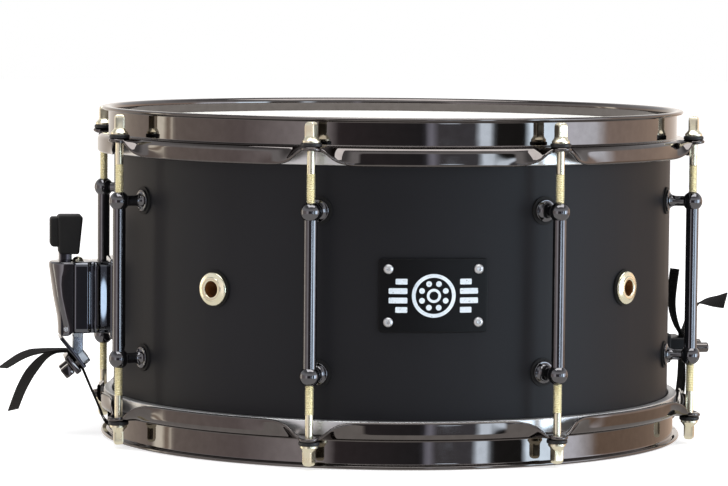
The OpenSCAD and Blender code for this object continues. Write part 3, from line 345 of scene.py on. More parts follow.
skin("enamelled_plate", [on_front(filled(slab(plate_outline, eased(bed_r, face_r, plate_edge)), 16))], black_enamel,
     ["front_plate"])

# Screen-print ink: a thin pale blue-white coat, rubbed through to the enamel in specks up to 1.5 mm and lightly
# mottled.
print_ink, tree = finish("screen_print_ink")
place = add(tree, "TexCoord").outputs["Object"]
rub = add(tree, "TexNoise", {"Vector": place, "Scale": 1 / (1.5 * MM), "Detail": 8, "Roughness": 0.8})
gone = add(tree, "MapRange", {"Value": rub, "From Min": 0.58, "From Max": 0.64})
mottle = add(tree, "TexNoise", {"Vector": place, "Scale": 1 / (7 * MM), "Detail": 4})
pale = add(tree, "Mix", {0: mottle, 6: srgb("#b9c8d4"), 7: srgb("#eef3f6")}, data_type="RGBA")
coat = add(tree, "Mix", {0: gone, 6: pale, 7: srgb("#23262a")}, data_type="RGBA")
shader = add(tree, "BsdfPrincipled", {"Base Color": coat, "Roughness": 0.55})
add(tree, "OutputMaterial", {"Surface": shader})

# The emblem is two rings, eight dots between them, and four bars to either side, given as (up, length).
ring_radii, dot_r, dot_ring_r, dots = ((13.0, 10.8), (4.2, 2.6)), 1.7, 7.6, 8
bars, bar_h, bar_start = ((8.4, 7.0), (2.8, 11.0), (-2.8, 11.0), (-8.4, 7.0)), 3.4, 15.6
ink_t = 0.08
ink_low, ink_edge, ink_top = face_r - 0.1, face_r + 0.05, face_r + ink_t
coats = [(ink_low, 0), (ink_edge, 0), (ink_top, ink_t)]
a = np.arange(48) * np.pi / 24
circle = rounded(np.stack([np.cos(a), np.sin(a), 0 * a + 0.2], -1), 1)
emblem = [on_front(filled(slab(circle * dot_r + (dot_ring_r * math.cos(a), dot_ring_r * math.sin(a)), coats), 3))
          for a in (np.arange(dots) + 0.5) * 2 * np.pi / dots]
for outer, inner in ring_radii:
    band = [(outer, ink_low), (outer, ink_edge), (outer - ink_t, ink_top), (inner + ink_t, ink_top), (inner, ink_edge),
            (inner, ink_low), (outer, ink_low)]
    emblem.append(on_front(np.stack([np.column_stack([circle * r, np.full(len(circle), h)]) for r, h in band])))
for side in (-1, 1):
    for up, length in bars:
        bar = evenly(box_outline(length, bar_h, 0.5, side * (bar_start + length / 2), up), 60)
        emblem.append(on_front(filled(slab(bar, coats), 4)))
skin("front_plate_print", emblem, print_ink, [])

# Stainless steel: a bright cool grey, faintly brushed by tumbling, with smears 2 mm long.
stainless_steel = clouded("stainless_steel", "#d2d4d6", "#efeff0", size=2, detail=5, gloss=(0.34, 0.5), metallic=1,
                          relief=(0.25, 2, 0.05, 0.02))


def button_screw(head_r, rise, socket, depth, turns=48):
    """Button head with a hexagon socket: a dome r = R cos b, h = rise sin b, cut off where it meets the socket's
    hexagon r = s / cos(angle to the nearest flat), then the socket's walls and a cone-shaped floor."""
    a = np.linspace(0, 2 * np.pi, turns + 1)
    hexagon = socket / np.cos((a + np.pi / 6) % (np.pi / 3) - np.pi / 6)
    b = np.linspace(0, np.arccos(socket * 1.25 / head_r), 8)
    radii = [head_r + 0 * a, *(head_r * np.cos(b)[:, None] + 0 * a), hexagon, hexagon, 0 * a]
    top = 0.4 + (rise - 0.4) * np.sin(b)
    heights = [0.0, *top, top[-1] + 0.03, top[-1] - depth, top[-1] - depth - 0.3]
    return about_axis(np.stack(radii), a, np.array(heights)[:, None])


# Pieces that touch are drawn a hair apart.
hair = 0.05
button = button_screw(head_r=2.95, rise=2.1, socket=1.15, depth=1.1) + (0, 0, face_r + hair)
turn, rise = (plate_w / 2 - screw_from_end) / shell_r, plate_h / 2 - screw_from_top
skin("front_plate_screw",
     [outward(button, s * turn + plate_turn - np.pi / 2, z_plate + z * rise) for s in (-1, 1) for z in (-1, 1)],
     stainless_steel, ["front_plate_screws"])

# Lugs. Each is a threaded tube between two turned ball posts, all plated black nickel. The posts stand on rubber
# gaskets and are held by screws and washers from inside the shell.
lug_angles = np.radians(-67.5 + 45 * np.arange(8))
rod_off, post_rise = 17, 48.6
ball_r, neck_r, foot_r, brow_r, foot_rim, flare_l = 6.15, 3.2, 6.7, 6.3, 1.2, 4.5
rod_r = shell_r + rod_off

# Black nickel: a dark, slightly brown mirror over polished steel. It shows the room with little loss of sharpness,
# and ripples of some 12 mm from pressing and buffing bend the reflections a little.
black_nickel = clouded("black_nickel_plate", "#625d5b", "#736e6c", size=5, detail=4, gloss=(0.02, 0.06), metallic=1,
                       relief=(12, 1, 0.06, 0.4))

# Barrel-plated black nickel on the lugs: a cooler, neutral dark grey than the hoops' plate, with a slightly softer
# gloss and 3 mm clouds.
lug_nickel = clouded("barrel_plated_black_nickel", "#656467", "#757476", size=3, detail=3, gloss=(0.05, 0.12),
                     metallic=1)

a = np.linspace(0, np.pi / 2, 9)
flare = np.stack([brow_r - (brow_r - neck_r) * np.sin(a), seat_r + foot_rim + flare_l * (1 - np.cos(a))], -1)
b = np.linspace(np.arcsin(neck_r / ball_r), np.pi, 24)
ball = np.stack([ball_r * np.sin(b), rod_r - ball_r * np.cos(b)], -1)
foot = rounded([(0, seat_r, 0), (foot_r, seat_r, 0.2), (foot_r, seat_r + foot_rim, 0.5),
                (brow_r, seat_r + foot_rim, 0)], 5, closed=False)
post = lathe(np.concatenate([foot, flare[1:], ball]), turns=56)
skin("lug_post", [outward(post, a, z_mid + z) for a in lug_angles for z in (-post_rise, post_rise)], lug_nickel,
     ["lug_posts"])
dress(lug_nickel, *(f"lug_tube_{i}" for i in range(1, 9)))
dress(black_rubber, "lug_gaskets")
dress(stainless_steel, "lug_screws", "lug_screw_washers")

# Heads. A polyester film drawn tight over each bearing edge, its edge crimped into a flesh ring of rolled aluminium
# channel. The batter film has a white coating, the snare-side film is thin and clear.
film_t, edge_crest, film_tuck = 0.25, 2.0, 2.6
ring_in, ring_w, ring_h, ring_drop, ring_round = 178.4, 5.4, 9.0, 10.4, 0.8
z_ring = z_high - ring_drop
film_foot = z_ring - ring_h / 2

# Coated film: white paint sprayed on polyester, gritty with 0.8 mm specks and dead matt, so that it stays white at a
# slant, and a little greyer where it thins.
coated_film = clouded("coated_polyester_film", "#e9e8e2", "#f7f6f2", size=45, detail=3, gloss=1, specular=0,
                      relief=(0.8, 3, 0.3, 0.06))

# Clear film: hazy polyester that lets the shell's inside show through, with faint streaks from drawing, 20 mm apart.
clear_film, tree = finish("clear_polyester_film")
place = add(tree, "TexCoord").outputs["Object"]
streak = add(tree, "TexNoise", {"Vector": place, "Scale": 1 / (20 * MM), "Detail": 2})
haze = add(tree, "MapRange", {"Value": streak, "To Min": 0.12, "To Max": 0.25})
shader = add(tree, "BsdfPrincipled", {"Base Color": srgb("#f2f2ec"), "Roughness": haze, "IOR": 1.6,
                                      "Transmission Weight": 0.85})
add(tree, "OutputMaterial", {"Surface": shader})

# Aluminium channel: bright, silvery white metal, softly hazed by rolling, with lines along the ring.
rolled_aluminium = clouded("rolled_aluminium", "#dedfe0", "#f4f4f4", size=24, detail=4, gloss=(0.32, 0.48), metallic=1,
                           stretch=(1, 1, 30))


def lower(*grids):
    """The lower half's copies of upper shapes, mirrored about the drum's middle plane."""
    return [grid * (1, 1, -1) + (0, 0, 2 * z_mid) for grid in grids]


film_low, crest, collar_r, tuck_r = z_high + hair, shell_r - edge_crest, shell_r + hair, ring_in + film_tuck
film_edge = rounded([
    (0, film_low, 0), (crest, film_low, 1.2), (collar_r, film_low - edge_crest, 1), (collar_r, film_foot, 0),
    (tuck_r, film_foot, 0), (tuck_r, film_foot + film_t, 0), (collar_r + film_t, film_foot + film_t, 0),
    (collar_r + film_t, film_low + film_t - edge_crest, 1.2), (crest + film_t, film_low + film_t, 1.4),
    (0, film_low + film_t, 0)], 4, closed=False)
drawn_film = lathe(film_edge, turns=240)
ring_section = rounded([(ring_in, z_ring - ring_h, ring_round), (ring_in + ring_w, z_ring - ring_h, ring_round),
                        (ring_in + ring_w, z_ring, ring_round), (ring_in, z_ring, ring_round)], 4)
flesh_ring = lathe(ring_section, turns=240)
skin("batter_film_drawn", [drawn_film], coated_film, ["batter_film"])
skin("snare_film_drawn", lower(drawn_film), clear_film, ["snare_film"])
skin("batter_flesh_ring", [flesh_ring], rolled_aluminium, ["batter_ring"])
skin("snare_flesh_ring", lower(flesh_ring), rolled_aluminium, ["snare_ring"])

# Hoops. Triple-flanged rings pressed from 2.3 mm steel: a rim rolled outwards, a collar, a flange over the flesh
# ring and a skirt, which sweeps up and out into a flat ear at each lug. The lower hoop has a gate for each strap.
sheet = 2.3
half_sheet, bend, shoulder = sheet / 2, sheet / 2 + 0.8, 3.2
z_top = np.array(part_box("batter_hoop")[1])[2] / MM
rim_r, hoop_collar, skirt_r = shell_r + 7.9, shell_r + 2.75, shell_r + 9.55
hinge_r = skirt_r - shoulder
z_flange, z_rim = z_ring + hair + half_sheet, z_top - half_sheet
ear_tip, skirt_run, deepen_from, deepen_l = 5.8, 11.1, 8, 15
flare_from_ear, flare_drop = (0, 5, 7.2, 10.4, 13.6, 17.6, 21.6, 28, 36), (0, 0, 3, 24, 43, 58, 71, 84, 90)
flare_blur, flare_end = 3.5, 40
gate_half, gate_sill = 21.0, 4.4


def arc_points(start, end, centre, radius, n=8):
    """A bend of the sheet: headings from start to end, with the middle line a radius from its centre. The radius is
    positive where the sheet turns clockwise."""
    heading = np.linspace(0, 1, n)[:, None] * (end - start) + start
    return centre[0] - radius * np.sin(heading), centre[1] + radius * np.cos(heading), heading


def hoop(theta, whole=True):
    """Section of the hoop at each angle. The sheet's middle line runs along the rim, down the collar and out along
    the flange to a hinge, where it bends down by up to a right angle: flat at an ear and fully down between ears.
    The bend's angle follows the flare's stations, averaged over the blur to either side. The run past the hinge is a
    half circle about the rod at an ear and the skirt's depth elsewhere. Both faces lie half a sheet to either side of
    the line, and both edges are rounded. A gate's section is not whole and ends at the gate's sill."""
    step = np.pi / 4
    d = np.abs(skirt_r * ((theta - lug_angles[0] + step / 2) % step - step / 2))
    nearby = np.abs(d + np.linspace(-flare_blur, flare_blur, 9)[:, None])
    drop = np.radians(np.interp(nearby, flare_from_ear, flare_drop).mean(0))
    out = rod_r - hinge_r
    deepen = np.clip((d - deepen_from) / deepen_l, 0, 1)
    run = out + np.sqrt(np.clip(ear_tip ** 2 - d ** 2, 0, None)) + (skirt_run - out) * deepen
    half_turn, down, level, flat = np.pi, 1.5 * np.pi, 2 * np.pi, 0 * theta
    bend_r, foot_z = hoop_collar + bend, z_flange + bend if whole else z_top - gate_sill + half_sheet
    share = np.array((0, 0.03, 0.06, 0.94, 0.97, 1))[:, None]
    line = [(np.linspace(rim_r - half_sheet, bend_r, 3)[:, None], z_rim, half_turn),
            arc_points(half_turn, down + flat, (bend_r, z_rim - bend), -bend),
            (hoop_collar, z_rim - bend + share * (foot_z - z_rim + bend), down)]
    if whole:
        hinge = arc_points(level, level - drop, (hinge_r, z_flange - shoulder), shoulder, 13)
        far = np.linspace(0, 1, 9)[1:, None] * (run - shoulder * drop)
        line += [arc_points(down, level + flat, (bend_r, z_flange + bend), -bend),
                 (np.linspace(bend_r, hinge_r, 3)[1:, None], z_flange, level), hinge,
                 (hinge[0][-1] + far * np.cos(drop), hinge[1][-1] - far * np.sin(drop), level - drop)]
    r, z, heading = (np.concatenate(part) for part in zip(*(np.broadcast_arrays(*leg, theta)[:3] for leg in line)))
    nr, nz = -half_sheet * np.sin(heading), half_sheet * np.cos(heading)
    b = np.linspace(0, np.pi, 8)[1:-1, None]
    ends = [(r[k] + nr[k] * np.cos(b) + s * nz[k] * np.sin(b), z[k] + nz[k] * np.cos(b) - s * nr[k] * np.sin(b))
            for k, s in ((-1, 1), (0, -1))]
    loop_r = np.concatenate([r + nr, ends[0][0], (r - nr)[::-1], ends[1][0][::-1]])
    loop_z = np.concatenate([z + nz, ends[0][1], (z - nz)[::-1], ends[1][1][::-1]])
    grid = about_axis(loop_r, theta, loop_z).swapaxes(0, 1)
    return np.concatenate([grid, grid[:, :1]], 1)


ear_steps = ear_tip * np.sin(np.linspace(0, np.pi / 2, 13))
away = np.concatenate([ear_steps, np.linspace(ear_tip, flare_end, 36)[1:],
                       np.linspace(flare_end, skirt_r * np.pi / 8, 10)[1:]])
columns = np.concatenate([-away[:0:-1], away[:-1]]) / skirt_r
theta = np.sort((lug_angles[:, None] + columns).ravel())
full_turn = np.append(theta, theta[0] + 2 * np.pi)
skin("batter_hoop_pressing", [hoop(full_turn)], black_nickel, ["batter_hoop"], sharp=50)
gate, clear, lap = math.asin(gate_half / skirt_r), 0.002, 0.004
spans = [(gate, np.pi - gate), (np.pi + gate, 2 * np.pi - gate)]
around = np.sort(theta % (2 * np.pi))
walls = [hoop(np.concatenate([[a], around[(around > a + clear) & (around < b - clear)], [b]])) for a, b in spans]
sills = [hoop(np.linspace(middle - gate - lap, middle + gate + lap, 25), whole=False) for middle in (0, np.pi)]
skin("snare_hoop_pressing", lower(*walls, *sills), black_nickel, ["snare_hoop"], capped=True, sharp=50)

# Tension rods. Brass-plated key rods: a square head on a cone and flange, a plain shank and a rolled thread that
# runs into the lug's tube. A black nylon washer lies between each head and its ear.
rod_plain, rod_l, thread_r, thread_pitch, thread_h = 18.3, 44.0, 2.47, 1.06, 0.27
shank_r, flange_r, square, head_h, washer_t, washer_r, washer_bore_r = 2.45, 5.4, 6.0, 12.4, 2.2, 6.25, 3.1
z_seat = z_ring + sheet + washer_t + 3 * hair
key_turns = np.radians((0, 0, 17, 33, 8, 25, -23, -15))

# Rolled thread: a shade deeper in its gold than the polished parts, satin, and paler where it has worn.
threaded_brass = clouded("rolled_brass_thread", "#f7edc2", "#fcf6d8", size=3, detail=4, gloss=0.45, metallic=0.8)

# Pale brass plate: a thin flash of brass over nickel on the shank and head, almost silver, softly polished.
pale_brass = clouded("pale_brass_plate", "#f3e9c4", "#fbf6e2", size=4, detail=5, gloss=(0.22, 0.36), metallic=1)

# Nylon: dense black, waxy and half matt, with 1 mm mottling.
black_nylon = clouded("black_nylon", "#111112", "#1d1d1e", size=1, detail=3, gloss=0.45)


def thread(low, high, turns=20, rows=6):
    """A rolled thread: rows follow the helix, z rising one pitch a turn, and r swings as a cosine once a pitch. Rows
    beyond the thread's ends are pressed flat onto them."""
    a = np.linspace(0, 2 * np.pi, turns + 1)
    k = np.arange(-rows, int((high - low) / thread_pitch + 1) * rows)[:, None]
    z = low + thread_pitch * (k / rows + a / (2 * np.pi))
    return about_axis(thread_r + thread_h * np.cos(2 * np.pi * k / rows), a, np.clip(z, low, high))


def rod_head(turns=48):
    """Shank, flange, cone and square key head as rows round Z, each a radius, a height, how square it is and its share
    of the square's size. A row mixes a circle of its radius with a square whose corners are rounded,
    r = half side / (|cos|^12 + |sin|^12)^(1/12)."""
    a = np.linspace(0, 2 * np.pi, turns + 1) + np.pi / 4
    key = square / 2 / (np.abs(np.cos(a)) ** 12 + np.abs(np.sin(a)) ** 12) ** (1 / 12)
    rows = [(0, -rod_plain, 0, 0), (shank_r, -rod_plain, 0, 0), (shank_r, 0, 0, 0), (flange_r - 0.2, 0, 0, 0),
            (flange_r, 0.25, 0, 0), (flange_r, 1.3, 0, 0), (flange_r - 0.4, 1.75, 0, 0), (4.5, 2.4, 0.1, 1),
            (4, 3.5, 0.6, 1), (0, 4.2, 1, 1), (0, head_h - 2.6, 1, 1), (0, head_h - 1.6, 1, 0.96),
            (0, head_h - 0.8, 1, 0.86), (0, head_h - 0.28, 1, 0.68), (0, head_h, 1, 0.4), (0, head_h, 1, 0)]
    r, h, squareness, share = np.array(rows).T[:, :, None]
    return about_axis((1 - squareness) * r + squareness * share * key, a, h)


rod_grids = [rod_head() + (0, 0, z_seat), thread(z_seat - rod_l, z_seat - rod_plain)]
washer_low, washer_high = z_seat - washer_t - hair, z_seat - hair
washer = lathe(rounded([(washer_bore_r, washer_low, 0.2), (washer_r, washer_low, 0.5), (washer_r, washer_high, 0.5),
                        (washer_bore_r, washer_high, 0.2)], 3), turns=40)
washers = []
for number, (angle, turn) in enumerate(zip(lug_angles, lug_angles + key_turns), 1):
    at = (rod_r * math.cos(angle), rod_r * math.sin(angle), 0)
    spin = np.array([[math.cos(turn), math.sin(turn), 0], [-math.sin(turn), math.cos(turn), 0], [0, 0, 1]])
    upper = [grid @ spin + at for grid in rod_grids]
    for side, grids in (("batter", upper), ("snare", lower(*upper))):
        name = f"{side}_rod_{number}"
        skin(f"{side}_key_rod_{number}", grids, [pale_brass, threaded_brass], [name], body=name)
    washers += [washer + at, *lower(washer + at)]
skin("rod_washer", washers, black_nylon, ["rod_washers"])

# Throw-off housing. A die-cast block plated black: a foot plate on the shell, a swelling column, and past a groove a
# block with a guide slot for the carriage and two knuckles for the lever's pin. Drawn along +X, then turned.
throw_front, throw_low, throw_high = shell_r + 26.7, z_mid - 39.15, z_mid + 6.15
base_w, base_top, base_t, block_w, end_round, column_r, swell_r = 42.0, 2.0, 4.0, 31.0, 3.0, 60.0, 1000.0
swell_up, column_in, groove_d, draw_from, draw_l, saddle_half = 21.5, 0.7, 3.1, 11, 2, 8
bar_back, rib_t, rib_w, bar_w, slot_gap = throw_front - 6.5, 3.0, 21.0, 15.0, 0.3
lever_back = throw_front + slot_gap
pivot_x, pivot_z, knuckle_r, knuckle_out, knuckle_w = lever_back + 4.4, throw_low + 2.8, 2.8, 11.5, 3.2

# Black chrome: a near-black mirror with a cold edge to its highlights and faint 3 mm clouds from plating.
black_chrome = clouded("black_chrome_plate", "#626469", "#6e7076", size=3, detail=3, gloss=(0.02, 0.05), metallic=1)


def throw(*grids):
    """Turns shapes drawn on the +X side half a turn about the drum's axis."""
    return [grid * (-1, -1, 1) for grid in grids]


def bedded(outline, levels):
    """A casting on the shell's +X side: an outline of (across, up) carried outwards through its levels, its first row
    laid on the shell, x = sqrt(r^2 - y^2)."""
    grid = slab(outline, levels)[..., (2, 0, 1)]
    grid[0, :, 0] = np.sqrt(bed_r ** 2 - grid[0, :, 1] ** 2)
    return grid


def crosswise(outline, width, edge):
    """A slab of a width across the drum, from a side view of (outwards, up), with rounded edges."""
    return slab(outline, eased(-width / 2, width / 2, edge))[..., (0, 2, 1)]


# The plan is a shallow arc for the column, a groove, and a block with a narrow chamfer and the slot. Up the housing the
# column swells along a parabola, and both ends are drawn in along a quarter circle.
crest, groove_x, side_y = shell_r + 13.35, shell_r + 13.2, block_w / 2
a = np.arcsin((crest - np.linspace(shell_r + 2, groove_x - 1, 14)) / column_r)
column = np.stack([crest - column_r * np.sin(a), side_y - column_in - column_r * (1 - np.cos(a))], -1)
slot_y, rib_y, slot_front, slot_back = (bar_w / 2 + slot_gap, rib_w / 2 + slot_gap, bar_back + rib_t + slot_gap,
                                        bar_back - slot_gap)
block = rounded([(*column[-1], 0), (groove_x, side_y - column_in, 0.8), (groove_x + 0.8, side_y - groove_d, 0.5),
                 (groove_x + 2.6, side_y - groove_d, 0.5), (groove_x + 3.1, side_y - 0.21, 0),
                 (groove_x + 4.6, side_y, 0), (groove_x + 5, side_y, 0), (throw_front, side_y, 2),
                 (throw_front, slot_y, 0.4), (slot_front, slot_y, 0), (slot_front, rib_y, 0), (slot_back, rib_y, 0),
                 (slot_back, 0, 0)], 5, closed=False)
right = np.concatenate([column, block[1:-1]])
a = np.linspace(-1, 1, 9)[1:-1] * math.asin(saddle_half / bed_r)
saddle = bed_r * np.stack([np.cos(a), np.sin(a)], -1)
plan = np.concatenate([right, right[::-1] * (1, -1), saddle])
plan = np.concatenate([plan, plan[:1]])
a = np.linspace(0, np.pi / 2, 7)
up, inset = end_round * (1 - np.cos(a)), end_round * (1 - np.sin(a))
level = np.concatenate([throw_low + up, np.linspace(throw_low + end_round, throw_high - end_round, 13)[1:-1],
                        throw_high - up[::-1]])
drawn_in = np.concatenate([inset, np.zeros(11), inset[::-1]])[:, None]
body = slab(plan, [(height, 0) for height in level])
x, y, z = np.moveaxis(body, -1, 0)
swell = np.where(x < groove_x, (z - throw_low - swell_up) ** 2 / (2 * swell_r), 0)
body[..., 1] = np.sign(y) * (np.abs(y) - swell - drawn_in * np.clip((np.abs(y) - draw_from) / draw_l, 0, 1))
foot_plate = bedded(evenly(box_outline(base_w, throw_high - throw_low + 2 * base_top, 4, 0,
                                       (throw_high + throw_low) / 2), 90),
                    [(shell_r, 0), (shell_r + 0.5 * base_t, 0), *eased(shell_r, shell_r + base_t, 1.2)[6:]])
knuckle = rounded([(throw_front - 1, pivot_z - knuckle_r, 0), (pivot_x + knuckle_r, pivot_z - knuckle_r, 2.75),
                   (pivot_x + knuckle_r, pivot_z + knuckle_r, 2.75), (throw_front - 1, pivot_z + knuckle_r, 0)])
knuckles = [crosswise(knuckle, knuckle_w, 0.4) + (0, side * (knuckle_out - knuckle_w / 2), 0) for side in (-1, 1)]
skin("throw_housing_casting", throw(body, foot_plate, *knuckles), black_chrome, ["throw_housing"],
     capped=True)
dress(stainless_steel, "throw_pivot", "throw_screws", "butt_screws")

# Throw-off lever. Die-cast and plated black nickel: a hollow-backed lever that turns on the pin, with a square toe in
# front of it, solid at its head, and a flat shank on top that carries the grip.
lever_r, toe, lever_w, lever_wall, lever_cap, head_round, heel_gap = 4.4, 1.2, 30.0, 3.0, 5.4, 1.5, 0.06
lever_top, waist, breast = throw_high - 0.2, throw_low + 10, throw_low + 23.2
a = np.linspace(0, np.pi / 2, 6)
cap, edge = head_round * np.sin(a), head_round * (1 - np.cos(a))
z = np.concatenate([pivot_z - lever_r * np.cos(np.linspace(0, np.pi / 2, 9)),
                    np.linspace(pivot_z, lever_top - lever_cap, 22)[1:]])
hollow_rows = len(z)
z = np.concatenate([z, np.linspace(lever_top - lever_cap, lever_top - head_round, 5), lever_top - head_round + cap[1:]])
foot_arc = np.sqrt(np.clip(lever_r ** 2 - np.clip(pivot_z - z, 0, None) ** 2, 0, None))
stations = np.array([(pivot_z, lever_r), (waist, 5.0), (breast, 7.6), (lever_top - 3, 10.2)])
toe_arc = lever_r - toe + np.sqrt(np.clip(toe ** 2 - np.clip(pivot_z - z - lever_r + toe, 0, None) ** 2, 0, None))
nose = np.where(z < pivot_z, toe_arc, np.interp(z, stations[:, 0], stations[:, 1]))
trim = np.concatenate([np.zeros(len(z) - 5), edge[1:]])
heel_r = pivot_x - throw_front - heel_gap
nose, heel = pivot_x + nose - trim, pivot_x - heel_r / lever_r * foot_arc + 0.4 * trim
hollow = np.interp(z, (waist, breast), (pivot_x + 3.1, pivot_x + 4.6))
hollow = np.where(np.arange(len(z)) < hollow_rows, np.clip(hollow, heel, np.maximum(nose - 0.1, heel)), heel)

# Across, the front is a flattened half oval whose depth follows the scoop's stations below the lever's top, and the
# back is a trough between two walls.
a = np.linspace(-np.pi / 2, np.pi / 2, 25)
scoop = np.interp(lever_top - z, (0, 4, 9, 14.5, 22, 35, 45), (14, 13, 9, 7.2, 6.8, 7.2, 10))
depth = np.minimum(scoop, nose - heel)[:, None]
half_w = (lever_w / 2 - 0.6 * trim)[:, None]
front_x = nose[:, None] - depth + depth * np.cos(a) ** 0.85
front_y = half_w * np.sign(a) * np.abs(np.sin(a)) ** 0.9
b = np.linspace(1, -1, 13)
inner_w = half_w - lever_wall
inner_x = np.column_stack([heel, hollow[:, None] + 0 * b, heel])
inner_y = np.column_stack([inner_w, inner_w * b, -inner_w])
lever_x = np.column_stack([heel, front_x, heel, inner_x])
lever_y = np.column_stack([-half_w, front_y, half_w, inner_y])
lever = np.stack([lever_x, lever_y, z[:, None] + 0 * lever_x], -1)
lever = np.concatenate([lever, lever[:, :1]], 1)
shank_x, shank_t, shank_w, shank_in_grip = lever_back + 0.4, 8.0, 14.0, 17
grip_low = lever_top + 4.7
shank = slab(box_outline(shank_t, shank_w, 1.5, shank_x + shank_t / 2),
             eased(lever_top - 1, grip_low + shank_in_grip, 0.3))
skin("throw_lever_casting", throw(lever, shank), lug_nickel, ["throw_lever"], "lever", capped=True)

# Grip. A block of moulded rubber pushed over the lever's shank, a little wider at its top, with a thumb pad on its
# outer side.
grip_high, grip_w, pad_w, shank_out = grip_low + 24.7, 20.0, 15.0, shank_x + shank_t
pad_low, pad_high, pad_out = grip_low + 4.6, grip_high - 1.4, shank_out + 5.6
grip_side = rounded([(shank_x - 4.5, grip_low, 1.6), (shank_out + 0.2, grip_low, 1.6), (shank_out + 1, grip_high, 2.2),
                     (shank_x - 7, grip_high, 2.2)])
pad_side = rounded([(shank_out - 1, pad_low, 0), (pad_out, pad_low, 2.4), (pad_out, pad_high, 1.8),
                    (shank_out - 1, pad_high, 0)])
skin("throw_grip_moulding", throw(crosswise(grip_side, grip_w, 1.5), crosswise(pad_side, pad_w, 1.6)), black_rubber,
     ["throw_grip"], "lever", capped=True)

# Carriage and strap clamp. A ribbed bar that slides in the housing's slot, ending in a thin sloping tab. A plate, two
# square-headed screws and their nuts press the strap against the tab, and a domed knob sets the wires' tension.
bar_front, bar_top, foot_top = throw_front - slot_gap, throw_high - 3.5, pivot_z - lever_r - 0.5
slope, nut_turn = math.radians(51), math.radians(-20)
tab_low, tab_high, plate_from, plate_to, nut_h, clamp_shank_r = -12, 12.2, -12.5, 0.5, 4.5, 1.95
clamp_x, clamp_z, clamp_w, strap_stack, clamp_t, tab_t = throw_front + 1, throw_low - 13, 28.0, 1.7, 4.0, 2.4
screw_at, screw_y, screw_head = -7.0, 10.5, 7.0

# Chrome plate: a bright bluish metal, satin from blasting, with a slight orange peel of 2 mm left by casting.
chrome_plate = clouded("chrome_plate", "#b4c2d0", "#d3dde6", size=2, detail=2, gloss=(0.18, 0.28), metallic=1,
                       relief=(2, 2, 0.06, 0.1))


def clamp_at(along, off):
    """A point on the clamp's slope: so far up along it, and so far out from the tab's face."""
    return (clamp_x + along * math.cos(slope) + off * math.sin(slope),
            clamp_z + along * math.sin(slope) - off * math.cos(slope))


def into_slope(grid, y):
    """Turns a shape drawn up Z into the clamp's slope, about the middle of a clamp screw's seat."""
    seat_x, seat_z = clamp_at(screw_at, strap_stack + clamp_t + hair)
    u, v, w = np.moveaxis(grid, -1, 0)
    return np.stack([seat_x + u * math.cos(slope) - w * math.sin(slope), y + v,
                     seat_z + u * math.sin(slope) + w * math.cos(slope)], -1)


bar = rounded([(bar_back, -rib_w / 2, 0.3), (bar_back + rib_t, -rib_w / 2, 0.3), (bar_back + rib_t, -bar_w / 2, 0),
               (bar_front, -bar_w / 2, 0.6), (bar_front, bar_w / 2, 0.6), (bar_back + rib_t, bar_w / 2, 0),
               (bar_back + rib_t, rib_w / 2, 0.3), (bar_back, rib_w / 2, 0.3)], 3)
tab = rounded([(*clamp_at(tab_low, 0), 0.5), (*clamp_at(tab_high, 0), 0.5), (*clamp_at(tab_high, -tab_t), 0.5),
               (*clamp_at(tab_low, -tab_t), 0.5)])
behind = [clamp_z + tab_t / 2 / math.cos(slope) + (x - clamp_x) * math.tan(slope) for x in (bar_back, bar_front)]
neck = rounded([(bar_back, behind[0], 0), (bar_front, behind[1], 0), (bar_front, foot_top, 0),
                (bar_back, foot_top, 0)])
c, s, nut_low = math.cos(nut_turn), math.sin(nut_turn), strap_stack + clamp_t + tab_t
nut = slab(box_outline(screw_head, screw_head, 0.7) @ ((c, s), (-s, c)), eased(nut_low - 0.2, nut_low + nut_h, 0.7))
carriage = throw(slab(bar, eased(foot_top - 1, bar_top, 0.3)), crosswise(tab, clamp_w, 0.5),
                 crosswise(neck, bar_w, 0.6), into_slope(nut, -screw_y), into_slope(nut, screw_y))
skin("throw_carriage_bar", carriage, [chrome_plate, black_chrome] + [chrome_plate] * 3, ["throw_carriage"],
     "carriage", capped=True)
clamp_out = strap_stack + clamp_t
clamp_side = rounded([(*clamp_at(plate_from, strap_stack), 0.8), (*clamp_at(plate_to, strap_stack), 0.8),
                      (*clamp_at(plate_to, clamp_out), 1), (*clamp_at(plate_from, clamp_out), 1)])
skin("throw_clamp_plate", throw(crosswise(clamp_side, clamp_w, 0.8)), black_nickel, ["throw_clamp"],
     "carriage", capped=True)
square_head = slab(box_outline(screw_head, screw_head, 0.9), eased(-6.5, 0, 0.8))
screw_shank = slab(circle * clamp_shank_r, [(-1, 0), (10.7, 0)])
clamp_screws = [into_slope(grid, y) for y in (-screw_y, screw_y) for grid in (square_head, screw_shank)]
skin("throw_clamp_screw", throw(*clamp_screws), black_nickel, ["throw_clamp_screws"], "carriage",
     capped=True)
knob_r, knob_h, dome_h, stem_r, knob_low, stem_low = 3.3, 3.6, 2.2, 2, bar_top + 0.3, bar_top - 11
a = np.linspace(0, np.pi / 2, 10)
dome = np.stack([knob_r * np.cos(a), knob_low + knob_h + dome_h * np.sin(a)], -1)
knob = lathe([(0, stem_low), (stem_r, stem_low), (stem_r, knob_low), (knob_r - 0.2, knob_low), (knob_r, knob_low + 0.3),
              *dome], turns=40)
skin("throw_knob_dome", throw(knob + ((bar_back + bar_front) / 2, 0, 0)), pale_brass, ["throw_knob"], "knob")

